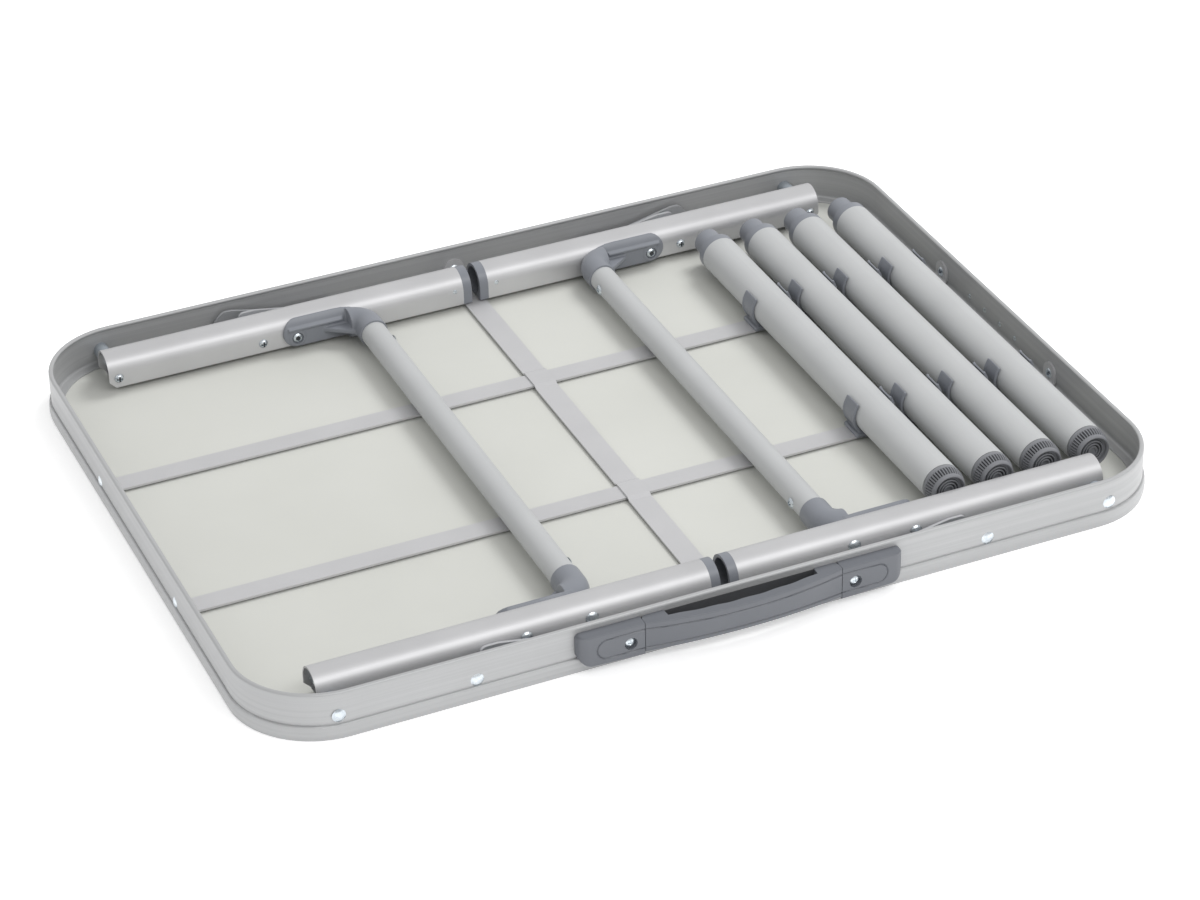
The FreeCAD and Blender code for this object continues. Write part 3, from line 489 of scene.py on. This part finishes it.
BAR = (corners("crossbar_right")[0] + corners("crossbar_right")[1]) / 2
BAR_R = (corners("crossbar_right")[1].z - corners("crossbar_right")[0].z) / 2
ELBOW_END = corners("elbow_right_far")[1].x + 2.5
SOCKET_MOUTH = 209.0
BAR_SEAT = 3.0
BAR_WALL = 1.5
SOCKET_R = 13.0
BEND_R = 14.5
BEND_Y = 222.5
SADDLE_START, SADDLE_FULL = 105.5, 135.0
SADDLE_THICK = 3.2
SADDLE_HALF = 12.4
SADDLE_ARC = 47.0
SADDLE_HALF_ARC = 40.2      # angle that SADDLE_HALF alone takes up on the tab's outside
INNER_SIDE_X = 123.6
SCREW_X, SCREW_Z = 171.0, 20.0
SCREW_RING_R = 7.4
SCREW_SEAT_R = 5.4
RIB_R = 1.7
RIB_Z = 28.6
RIB_X0, RIB_X1 = 128.5, 179.0
GUSSET_X = 147.0
GUSSET_Y = 220.5
GUSSET_TOP = 24.0
GUSSET_THICK = 4.0
GUSSET_ROOT = 6.0
SEAT_GAP = 0.03
BORE_GAP = 0.05
SOFTEN_ELBOW, SOFTEN_CLIP = 3, 1


def saddle():
    """Tab with a rounded end that hugs the rail's side and part of its arc."""
    low = RAIL_ARC_Z - SADDLE_HALF
    rings = []
    round_x = ELBOW_END - SADDLE_HALF
    stations = [SADDLE_START, 107.0, 109.0, 112.0, 116.0, 121.0, 128.0, SADDLE_FULL, 145.0, 155.0, round_x]
    stations += [round_x + SADDLE_HALF * math.sin(math.radians(a)) for a in (15, 30, 45, 58, 70, 80, 86)]
    for x in stations:
        over = max(x - round_x, 0.0)
        half = math.sqrt(max(SADDLE_HALF ** 2 - over ** 2, 0.0))
        bottom = max(low, RAIL_ARC_Z - half)
        top = math.degrees(math.asin(min(half / (RAIL_HALF + SADDLE_THICK), 1.0)))
        top = min(SADDLE_ARC, top * SADDLE_ARC / SADDLE_HALF_ARC)
        before = max(SADDLE_FULL - x, 0.0) / (SADDLE_FULL - SADDLE_START + 1)
        top *= math.sqrt(1 - before ** 2)
        outer = [(RAIL_FACE - SADDLE_THICK, bottom)] + arch(SADDLE_THICK, 0, top, 12)
        inner = list(reversed(arch(-1.0, 0, top, 12))) + [(RAIL_FACE + 1.0, bottom)]
        rings.append([(x, y, z) for y, z in outer + inner])
    return tunnel(rings)


def bend():
    """Round socket that sweeps from the cross bar to the rail."""
    centre_x = BAR.x + BEND_R
    rings = []
    path = [(BAR.x, SOCKET_MOUTH, 0.0), (BAR.x, BEND_Y, 0.0)]
    path += [(centre_x - BEND_R * math.cos(a), BEND_Y + BEND_R * math.sin(a), a)
             for a in [math.radians(6 * k) for k in range(1, 16)]]
    for x, y, a in path:
        ring = []
        for t in turns(56):
            side = -SOCKET_R * math.cos(t)
            ring.append((x + side * math.cos(a), y - side * math.sin(a), BAR.z + SOCKET_R * math.sin(t)))
        rings.append(ring)
    return tunnel(rings)


def gusset():
    """Thin triangular web in the inner corner."""
    low = GUSSET_TOP - GUSSET_THICK
    root = BAR.x + GUSSET_ROOT
    corner = [(root, GUSSET_Y), (BAR.x + SOCKET_R, GUSSET_Y),
              (GUSSET_X, RAIL_FACE - SADDLE_THICK), (root, RAIL_FACE - SADDLE_THICK)]
    return tunnel([[(x, y, low) for x, y in corner], [(x, y, GUSSET_TOP) for x, y in corner]])


def elbow_shape():
    """Far right elbow: moulded corner, then a crisp bore for the bar and seat on the rail."""
    face = RAIL_FACE - SADDLE_THICK
    inner_corner = brick((INNER_SIDE_X, SOCKET_MOUTH - 5, 0), (INNER_SIDE_X + 60, face + 0.4, 60))
    sweep = cut(bend(), [inner_corner])
    rib = disc_bar(RIB_R, (RIB_X0, face + 0.2, RIB_Z), (RIB_X1, face + 0.2, RIB_Z), 24)
    ring = disc_bar(SCREW_RING_R, (SCREW_X, face - 0.7, SCREW_Z), (SCREW_X, face + 2, SCREW_Z))
    body = moulded_shape([sweep, saddle(), gusset(), rib, ring], SOFTEN_ELBOW)
    seat = disc_bar(SCREW_SEAT_R, (SCREW_X, face - 5, SCREW_Z), (SCREW_X, face + 0.5, SCREW_Z))
    bore = disc_bar(BAR_R + BORE_GAP, (BAR.x, SOCKET_MOUTH - 5, BAR.z),
                    (BAR.x, SOCKET_MOUTH + BAR_SEAT, BAR.z), 96)
    return cut(body, [rail_bar(SEAT_GAP, 60, 220), bore, seat])


def make_elbows():
    shape = elbow_shape()
    for x_name, x_side in (("left", -1), ("right", 1)):
        for y_name, y_side in (("far", 1), ("near", -1)):
            name = "elbow_" + x_name + "_" + y_name
            make_piece(name + "_moulding", mirrored(shape, x_side, y_side), x_name + "_frame",
                       "moulded_plastic", name)


def make_crossbars():
    """Open tubes that end inside the elbows' sockets."""
    end = SOCKET_MOUTH + BAR_SEAT - 0.5
    for x_name, x_side in (("left", -1), ("right", 1)):
        shape = shifted(pipe_along_y(BAR_R, BAR_WALL, -end, end), x_side * BAR.x, 0, BAR.z)
        name = "crossbar_" + x_name
        make_piece(name + "_tube", shape, x_name + "_frame", "tube_aluminium", name)


# ---- feet ----

FOOT_RIBS = 42
FOOT_RIB_STEPS = 6
FOOT_GROOVE_STEPS = (0, 1, 5)       # those of a rib's steps that lie in the groove
FOOT_RIB_DEPTH = 1.6
FOOT_STEM_R = 5.0


def foot_profile(r, stem_end, depth):
    """(radius, height) points of a foot: its collar, ribbed shoulder, edge of the face and rings in it."""
    collar = [(0.0, stem_end), (FOOT_STEM_R - 0.6, stem_end), (FOOT_STEM_R, stem_end - 0.6),
              (FOOT_STEM_R, 0.0), (r - 0.6, 0.0), (r, -0.6), (r, -3.4), (r - 0.3, -3.9)]
    ribbed = [(r - 0.1, -4.1), (r - 0.05, -5.0), (r - 0.2, -6.6), (r - 0.55, -8.4), (r - 1.1, -10.0),
              (r - 1.7, -11.3)]
    edge = [(r - 1.9, -11.6), (r - 2.2, depth + 1.6), (r - 2.7, depth + 0.5), (r - 3.6, depth),
            (r - 4.5, depth + 0.4), (r - 4.9, depth + 1.2), (r - 5.0, depth + 2.6)]
    rings = [(10.3, depth + 3.2), (9.8, depth + 3.0), (9.7, depth + 1.7), (9.2, depth + 1.4),
             (8.6, depth + 1.7), (8.5, depth + 3.0), (7.2, depth + 3.0), (7.1, depth + 1.7),
             (6.6, depth + 1.4), (6.0, depth + 1.7), (5.9, depth + 3.0), (4.7, depth + 3.0),
             (4.6, depth + 1.8), (4.0, depth + 1.5), (3.3, depth + 1.8), (3.1, depth + 3.0),
             (1.5, depth + 3.2), (0.0, depth + 3.2)]
    return collar, ribbed, edge, rings


def foot_shape(low, high):
    """Screw-in foot: collar, ribbed shoulder and a recessed face with rings in it.

    Also returns the numbers of the faces that lie low in a groove, which get painted shade."""
    x = (low.x + high.x) / 2
    z = (low.z + high.z) / 2
    top = corners("leg_tube_1")[0].y - 0.3
    depth = low.y - top
    r = (high.x - low.x) / 2
    collar, ribbed, edge, rings = foot_profile(r, high.y - top, depth)
    profile = collar + ribbed + edge + rings
    steps = FOOT_RIBS * FOOT_RIB_STEPS
    points, faces = turned(profile, steps)
    ring_of = [0] + [1 + (i - 1) // steps for i in range(1, len(points) - 1)] + [len(profile) - 1]
    rib_rings = range(len(collar), len(collar) + len(ribbed))
    between_ribs = {i for i in range(1, len(points) - 1)
                    if ring_of[i] in rib_rings and (i - 1) % FOOT_RIB_STEPS in FOOT_GROOVE_STEPS}
    scale = 1 - FOOT_RIB_DEPTH / r
    for i in between_ribs:
        px, py, pz = points[i]
        points[i] = (px * scale, py * scale, pz)
    face_rings = range(len(profile) - len(rings) - 1, len(profile) - 2)
    low_in_face = {i for i in range(len(points)) if ring_of[i] in face_rings and points[i][2] >= depth + 2.9}
    shade_painted_faces = {number for number, corner in enumerate(faces)
              if between_ribs.issuperset(corner) or low_in_face.issuperset(corner)}
    return facing((points, faces), (x, top, z), (0, 1, 0)), shade_painted_faces


def make_feet():
    for number in range(1, 5):
        name = "leg_foot_" + str(number)
        shape, shade_painted_faces = foot_shape(*corners(name))
        piece = make_piece(name + "_ribbed", shape, "foot_" + str(number), "foot_plastic", name, 50.0)
        # Painted shade: the faces low in the grooves get the near-black look.
        piece.data.materials.append(GROOVE_SHADE_LOOK)
        for face in piece.data.polygons:
            face.material_index = 1 if face.index in shade_painted_faces else 0


# ---- leg clips ----

CLIP_INNER_R = 17.5
CLIP_BACK_R = 19.1
CLIP_LIP_R = 20.0
CLIP_TIP = 39.0


def clip_band(half):
    """C-shaped band round the leg, its edges thickened, its tips thinner and turned out."""
    rings = []
    steps = 54
    for k in range(steps + 1):
        a = math.radians(CLIP_TIP - (180 + 2 * CLIP_TIP) * k / steps)
        near_tip = max(0.0, 1 - min(k, steps - k) / 5)
        out = 1.1 * near_tip ** 2
        back = CLIP_BACK_R + out - 0.5 * near_tip
        lip = CLIP_LIP_R + out - 0.7 * near_tip
        inner = CLIP_INNER_R - 0.4 + out
        section = [(inner, -half), (lip, -half), (lip, 1.5 - half), (back, 2.1 - half),
                   (back, half - 2.1), (lip, half - 1.5), (lip, half), (inner, half)]
        rings.append([(r * math.cos(a), y, r * math.sin(a)) for r, y in section])
    return tunnel(rings)


def clip_shape(low, high, leg_x, leg_z):
    """One clip: band, neck and bevelled base, cut to the leg's radius."""
    y = (low.y + high.y) / 2
    half_base = (high.y - low.y) / 2
    half = half_base - 2.75
    base_z = low.z
    x0, x1 = leg_x - 17.0, leg_x + 16.0
    base = [(x0, base_z), (x1, base_z), (x1, base_z + 2.4), (x1 - 0.9, base_z + 3.3),
            (x0 + 0.9, base_z + 3.3), (x0, base_z + 2.4)]
    neck = [(leg_x - 15, base_z + 1), (leg_x + 14, base_z + 1),
            (leg_x + 11.5, leg_z - 11), (leg_x - 11.5, leg_z - 11)]
    shapes = [shifted(clip_band(half), leg_x, y, leg_z), bar_along_y(base, low.y, high.y),
              bar_along_y(neck, y - half + 1.2, y + half - 1.2)]
    body = moulded_shape(shapes, SOFTEN_CLIP)
    under = brick((x0 - 9, low.y - 5, base_z - 20), (x1 + 9, high.y + 5, base_z + 0.02))
    bore = disc_bar(CLIP_INNER_R, (leg_x, low.y - 5, leg_z), (leg_x, high.y + 5, leg_z), 96)
    return cut(body, [under, bore])


def make_clips():
    """Both clips of each leg as one piece; the first is shaped and the others are copies of it."""
    parts = [loose_parts("leg_clips_" + str(n)) for n in range(1, 5)]
    tube_low, tube_high = corners("leg_tube_1")
    middle = (tube_low + tube_high) / 2
    first_low, first_high = parts[0][0]
    shape = clip_shape(first_low, first_high, middle.x, middle.z)
    for number, boxes in enumerate(parts, start=1):
        copies = [shifted(shape, *(low - first_low)) for low, high in boxes]
        name = "leg_clips_" + str(number)
        make_piece(name + "_sprung", joined(copies), "table", "moulded_plastic", name)


# ---- carrying handle ----

WALL_Y = -297.55
BAND_Y = -300.1
BAND_Z = 14.2
FACE_Y = -308.0
BOW = 10.0
CAP_LOW, CAP_HIGH = corners("handle_cap_right")
SPLIT_X = CAP_LOW.x
GRIP_LOW_Z = corners("handle_grip")[0].z
GRIP_LIFT = 3.4
GAP_X = 65.0
GAP_STEP_Y = -305.2
GAP_DEEP = 5.4
FINGER_WAVE = 0.35
OVAL_X = 117.3
OVAL_LOW, OVAL_HIGH = 12.7, 30.1
OVAL_LIFT = 2.8
GROOVE_HALF = 0.7
GROOVE_DEEP = 0.95
BORE_R = 5.4
BORE_DEEP = 3.2
CAP_RISE = 2.0
CAP_CORNER_R = 12.0
PLATE_X = 84.0
PLATE_LOW, PLATE_HIGH = 14.6, 35.0
PLATE_FRONT = -298.2
HANDLE_SCREW = (97.5, 20.0)


def edge_round(distance, radius):
    """How far a rounded edge falls back at a distance from the edge."""
    if distance >= radius:
        return 0.0
    away = radius - max(distance, 0.0)
    return radius - math.sqrt(max(radius ** 2 - away ** 2, 0.0))


def middle_share(x):
    """1 at the middle of the grip, 0 at its ends and beyond."""
    return max(0.0, 1 - (x / SPLIT_X) ** 2)


def groove(x, z):
    """Depth of the oval line engraved round the handle's face."""
    low = OVAL_LOW + OVAL_LIFT * middle_share(x)
    centre = (low + OVAL_HIGH) / 2
    half = (OVAL_HIGH - low) / 2
    over = max(abs(x) - OVAL_X, 0.0)
    distance = abs(math.hypot(over, z - centre) - half)
    return GROOVE_DEEP * max(0.0, 1 - (distance / GROOVE_HALF) ** 2)


def slab(stations, low_at, high_at, front_at, back_at):
    """Closed skin between a front and a back surface over X stations; each surface gives y."""
    shares = [0, 0.008, 0.02, 0.035, 0.055]
    shares += [0.055 + 0.89 * k / 56 for k in range(1, 56)]
    shares += [1 - s for s in reversed(shares[:5])]
    rings = []
    for x in stations:
        low, high = low_at(x), high_at(x)
        heights = [low + (high - low) * s for s in shares]
        front = [(x, front_at(x, z), z) for z in heights]
        back = [(x, back_at(x, z), z) for z in reversed(heights)]
        rings.append(front + back)
    return tunnel(rings)


def spaced(start, end, step):
    """Evenly spaced values from start to end, about a step apart."""
    count = max(1, round((end - start) / step))
    return [start + (end - start) * k / count for k in range(count + 1)]


def cap_shape():
    """Right end pad of the handle."""
    end = CAP_HIGH.x
    z0, z1 = CAP_LOW.z, CAP_HIGH.z
    stations = [SPLIT_X + 0.15, SPLIT_X + 0.3, SPLIT_X + 0.6] + spaced(SPLIT_X + 1, end - 2, 0.5)
    stations += [end - 1.4, end - 0.9, end - 0.5, end - 0.2, end]

    def low_at(x):
        return z0 + CAP_RISE * (x - SPLIT_X) / (end - SPLIT_X) + edge_round(end - x, CAP_CORNER_R)

    def high_at(x):
        return z1 - edge_round(end - x, 4.0)

    def front_at(x, z):
        fall = edge_round(end - x, 9.0) * 0.95 + edge_round(x - SPLIT_X, 0.5)
        fall += edge_round(high_at(x) - z, 1.3) + edge_round(z - low_at(x), 2.0)
        return min(FACE_Y + fall + groove(x, z), WALL_Y - 0.6)

    def back_at(x, z):
        return WALL_Y

    body = slab(stations, low_at, high_at, front_at, back_at)
    x, z = HANDLE_SCREW
    bore = disc_bar(BORE_R, (x, FACE_Y - 5, z), (x, FACE_Y + BORE_DEEP, z), 72)
    band = brick((SPLIT_X - 5, BAND_Y, z0 - 5), (end + 5, WALL_Y + 5, BAND_Z))
    return cut(body, [bore, band])


def grip_shape():
    """Bowed grip with the finger gap behind it."""
    z1 = corners("handle_grip")[1].z
    edge = SPLIT_X - 0.15
    half = [0.0] + spaced(1.0, GAP_X - 1, 1.0) + [GAP_X - 0.3, GAP_X + 0.3]
    half += spaced(GAP_X + 1, edge - 3, 0.8) + [edge - 2, edge - 1.2, edge - 0.6, edge - 0.3, edge]
    stations = [-x for x in reversed(half[1:])] + half

    def low_at(x):
        return GRIP_LOW_Z + GRIP_LIFT * middle_share(x)

    def high_at(x):
        return z1

    def front_at(x, z):
        fall = edge_round(z1 - z, 1.3) + edge_round(z - low_at(x), 2.0) + edge_round(edge - abs(x), 0.5)
        return FACE_Y - BOW * middle_share(x) + fall + groove(x, z)

    def back_at(x, z):
        if abs(x) > GAP_X:
            return WALL_Y - edge_round(edge - abs(x), 5.0)
        deep = GAP_STEP_Y - GAP_DEEP * (1 - (x / GAP_X) ** 2)
        return deep + FINGER_WAVE * math.cos(2 * math.pi * x / 27.0)

    body = slab(stations, low_at, high_at, front_at, back_at)
    band = brick((-SPLIT_X - 5, BAND_Y, GRIP_LOW_Z - 5), (SPLIT_X + 5, WALL_Y + 5, BAND_Z))
    return cut(body, [band])


def make_handle():
    cap = cap_shape()
    for name, x_side in (("left", -1), ("right", 1)):
        node = "handle_cap_" + name
        make_piece(node + "_moulding", mirrored(cap, x_side, 1), "table", "moulded_plastic", node, 40.0,
                   HANDLE_LOOK)
    # Dark plate on the wall in the finger gap behind the grip.
    plate = brick((-PLATE_X, PLATE_FRONT, PLATE_LOW), (PLATE_X, WALL_Y - 0.02, PLATE_HIGH))
    make_piece("handle_grip_moulding", grip_shape(), "table", "moulded_plastic", "handle_grip", 40.0,
               HANDLE_LOOK)
    make_piece("handle_gap_plate", plate, "table", "moulded_plastic", "handle_grip", 40.0, GAP_PLATE_LOOK)


# ---- screws, bolts and rivets ----
#
# A head is given as (radius, height), a recess as (size, depth).

STEEL = "zinc_steel"
FLAT = [(0.0, 0.0), (0.5, 0.0)]         # profile of an end with no head
CROSS_WIDTH = 0.27                      # half width of a cross's arm, as a share of its length
STRIP_CROSS = (2.7, 1.9)
PIVOT_CROSS = (2.6, 1.8)
SHADE_DISC_RISE = 0.35                       # painted shade disc above the bottom of its recess
SHADE_DISC_THICK = 0.3
PIN_R, PIN_SHOULDER_R, PIN_END_R = 3.0, 5.0, 4.5
PIN_SHOULDER = 4.2
PIN_FLARE = 1.5
END_WALL_X = 100.0                      # a strip bolt further out than this is in an end wall
BAR_SCREW_Y = 230.0                     # a frame screw nearer the middle than this holds a cross bar
OUTER_BOLT_Y = 260.0                    # one that reaches past this has its head outside the rail
SADDLE_SCREW_X = 140.0                  # one further out than this is at the elbow's tab


def dome_profile(radius, high, steps=9):
    """(radius, height) points of a domed head from its top to its edge."""
    ball = (radius ** 2 + high ** 2) / (2 * high)
    points = []
    for k in range(steps + 1):
        r = radius * k / steps
        points.append((r, math.sqrt(ball ** 2 - r ** 2) - (ball - high)))
    return points


def within(room, slope):
    """0 outside an edge, rising to 1 over a slope inside it."""
    return min(1.0, max(0.0, room / slope))


def cross_recess(size, deep):
    """Pressed cross: its arms are a size long from the middle."""
    width = size * CROSS_WIDTH

    def height_at(x, y, z):
        across = min(abs(x), abs(y))
        along = max(abs(x), abs(y))
        inside = within(width - across, 0.15) * within(size - along, 0.25)
        return z - deep * inside if z > 0 else z
    return height_at


def hex_recess(size, deep):
    """Pressed hexagon socket of a half width."""
    def height_at(x, y, z):
        across = max(abs(x * math.cos(a) + y * math.sin(a)) for a in (0, math.pi / 3, 2 * math.pi / 3))
        inside = within(size - across, 0.2)
        return z - deep * inside if z > 0 else z
    return height_at


def round_ended(profile_a, shank_r, length, profile_b, recess=None):
    """Fastener with a head at each end: its seat at z = 0, the other seat at -length."""
    body = [(shank_r, 0.0), (shank_r, -length)]
    end = [(r, -length - z) for r, z in reversed(profile_b)]
    return turned(profile_a + body + end, 48, recess)


def end_faces(box, axis):
    """Coordinate of the end nearer the table's middle, then of the far end."""
    low, high = box
    return sorted((low[axis], high[axis]), key=abs)


sockets = []


def socket_shade_disc(head_high, size, deep, place, direction):
    """Painted shade: near-black disc low in a recess, seen only through the recess."""
    top = head_high - deep + SHADE_DISC_RISE
    disc = turned([(0.0, top), (size, top), (size, top - SHADE_DISC_THICK), (0.0, top - SHADE_DISC_THICK)], 24)
    sockets.append(facing(disc, place, direction))


def bolt_between(box, axis, inner, outer, shank_r, recess=None):
    """Fastener that fills a box along an axis; inner and outer are (radius, height) of its heads.

    recess is (function, size, depth) of the drive pressed into the inner head."""
    near, far = end_faces(box, axis)
    middle = (box[0] + box[1]) / 2
    way = 1 if far > near else -1
    place = middle.copy()
    place[axis] = near + way * (inner[1] if inner else 0)
    length = abs(far - near) - (inner[1] if inner else 0) - (outer[1] if outer else 0)
    direction = [0, 0, 0]
    direction[axis] = -way
    top = dome_profile(*inner, steps=16 if recess else 9) if inner else FLAT
    tail = dome_profile(*outer) if outer else FLAT
    press = None
    if recess:
        kind, size, deep = recess
        press = kind(size, deep)
        socket_shade_disc(inner[1], size, deep, place, direction)
    return facing(round_ended(top, shank_r, length, tail, press), place, direction)


def strip_bolt(box):
    axis = 0 if abs(box[0].x) > END_WALL_X else 1
    return bolt_between(box, axis, (4.6, 2.2), (4.6, 1.4), 2.5, (cross_recess, *STRIP_CROSS))


def wall_rivet(box):
    return bolt_between(box, 0, (2.4, 1.0), (2.4, 0.5), 1.6)


def head_proud(box):
    """Height of the inner head of a pivot bolt or brace pin: the far side's are taller."""
    return 2.8 if box[0].y > 0 else 1.3


def pivot_bolt(box):
    return bolt_between(box, 1, (4.2, head_proud(box)), (6.0, 1.6), 3.5, (cross_recess, *PIVOT_CROSS))


def brace_rivet(box):
    return bolt_between(box, 1, (4.5, 1.4), (5.6, 1.6), 3.0)


def handle_screw(box):
    seat = FACE_Y + BORE_DEEP
    x = (box[0].x + box[1].x) / 2
    shape = round_ended(dome_profile(5.0, 2.0, 16), 2.6, box[1].y - seat, FLAT, cross_recess(2.0, 0.9))
    return facing(shape, (x, seat, HANDLE_SCREW[1]), (0, -1, 0))


def frame_screw(box):
    """Cross bar screw, outer bolt, elbow screw or small end pin, told apart by its place."""
    x = abs(box[0].x + box[1].x) / 2
    y = abs(box[0].y + box[1].y) / 2
    reach = max(abs(box[0].y), abs(box[1].y))
    if y < BAR_SCREW_Y:
        return bolt_between(box, 0, (4.8, 2.4), None, 2.5, (cross_recess, *STRIP_CROSS))
    if reach > OUTER_BOLT_Y:
        head_r = 5.2 if x > SADDLE_SCREW_X else 5.8
        return bolt_between(box, 1, None, (head_r, 2.7), 2.5)
    if x > SADDLE_SCREW_X:
        return bolt_between(box, 1, (4.4, 2.0), None, 2.8, (hex_recess, 2.2, 2.3))
    return bolt_between(box, 1, (2.0, 0.6), None, 2.0)


def brace_pin(box):
    """Pin through the rail: a head inside it, a shoulder outside it and a flared end."""
    proud = head_proud(box)
    near, far = end_faces(box, 1)
    way = 1 if far > near else -1
    reach = abs(far - near) - proud
    rail = RAIL_HALF * 2
    profile = dome_profile(4.2, proud, 16) + [
        (PIN_R, 0.0), (PIN_R, -rail), (PIN_SHOULDER_R, -rail), (PIN_SHOULDER_R, -rail - PIN_SHOULDER),
        (PIN_R, -rail - PIN_SHOULDER), (PIN_R, PIN_FLARE - reach), (PIN_END_R, -reach), (0.0, -reach)]
    middle = (box[0] + box[1]) / 2
    place, direction = (middle.x, near + way * proud, middle.z), (0, -way, 0)
    socket_shade_disc(proud, *PIVOT_CROSS, place, direction)
    return facing(turned(profile, 48, cross_recess(*PIVOT_CROSS)), place, direction)


def fasten(node, body, shape_of):
    """Every fastener of a node as one piece, and the painted shade discs in their recesses as another."""
    make_piece(node + "_turned", joined([shape_of(box) for box in loose_parts(node)]), body, STEEL, node)
    if sockets:
        make_piece(node + "_socket_shade", joined(sockets), body, STEEL, node, look=SOCKET_SHADE_LOOK)
        sockets.clear()


def make_fasteners():
    fasten("strip_bolts", "table", strip_bolt)
    fasten("wall_rivets", "table", wall_rivet)
    fasten("pivot_bolts", "table", pivot_bolt)
    fasten("brace_rivets", "table", brace_rivet)
    fasten("handle_screws", "table", handle_screw)
    for side in ("left", "right"):
        fasten("frame_screws_" + side, side + "_frame", frame_screw)
        fasten("brace_pins_" + side, side + "_frame", brace_pin)


make_elbows()
make_crossbars()
make_feet()
make_clips()
make_handle()
make_fasteners()


# ---- floor, light and camera ----

FLOOR_HALF = 12.0
FLOOR_DROP = 0.0002
FLOOR_GLOW = 0.32
WORLD_STRENGTH = 0.68


def make_floor():
    """Pale floor just under the table; its faint glow keeps it near white."""
    r = FLOOR_HALF
    mesh = bpy.data.meshes.new("floor")
    mesh.from_pydata([(-r, -r, 0), (r, -r, 0), (r, r, 0), (-r, r, 0)], [], [(0, 1, 2, 3)])
    floor = new_object("floor", mesh)
    floor.location.z = cad_box[0].z - FLOOR_DROP
    material, _, shader = new_material("floor_white")
    shader.inputs["Base Color"].default_value = (0.97, 0.97, 0.97, 1)
    shader.inputs["Roughness"].default_value = 0.8
    shader.inputs["Emission Color"].default_value = (1, 1, 1, 1)
    shader.inputs["Emission Strength"].default_value = FLOOR_GLOW
    mesh.materials.append(material)


def make_world(strength):
    world = bpy.data.worlds.new("studio")
    bpy.context.scene.world = world
    world.use_nodes = True
    background = world.node_tree.nodes["Background"]
    background.inputs["Color"].default_value = (1.0, 1.0, 1.0, 1)
    background.inputs["Strength"].default_value = strength


def make_area_light(name, place, size, power, glossy=True):
    """Rectangular light that faces the origin; reflections show it only if glossy."""
    data = bpy.data.lights.new(name, "AREA")
    data.shape = "RECTANGLE"
    data.size, data.size_y = size
    data.energy = power
    light = new_object(name, data)
    light.location = place
    light.visible_glossy = glossy
    light.rotation_mode = "QUATERNION"
    light.rotation_quaternion = (-Vector(place)).to_track_quat("-Z", "Y")


CAMERA_AZIMUTH = -23.365
CAMERA_ELEVATION = 32.742
CAMERA_ROLL = -1.343
CAMERA_TARGET = Vector((0.00611, -0.01596, 0.0))
CAMERA_DISTANCE = 3.1441
CAMERA_LENS = 111.57


def make_camera():
    data = bpy.data.cameras.new("camera")
    data.sensor_width = 36.0
    data.lens = CAMERA_LENS
    data.clip_start = 0.05
    camera = new_object("camera", data)
    a = math.radians(CAMERA_AZIMUTH)
    e = math.radians(CAMERA_ELEVATION)
    back = Vector((math.sin(a) * math.cos(e), -math.cos(a) * math.cos(e), math.sin(e)))
    turn = (-back).to_track_quat("-Z", "Y").to_matrix().to_4x4()
    roll = Matrix.Rotation(math.radians(CAMERA_ROLL), 4, "Z")
    camera.matrix_world = Matrix.Translation(CAMERA_TARGET + back * CAMERA_DISTANCE) @ turn @ roll
    bpy.context.scene.camera = camera


make_floor()
make_world(WORLD_STRENGTH)
make_area_light("key", place=(1.8, 1.0, 2.6), size=(1.5, 1.2), power=58.0, glossy=False)
make_area_light("fill", place=(0.6, -2.2, 2.7), size=(3.2, 1.1), power=37.0)
make_camera()
bpy.context.scene.view_settings.view_transform = "Standard"
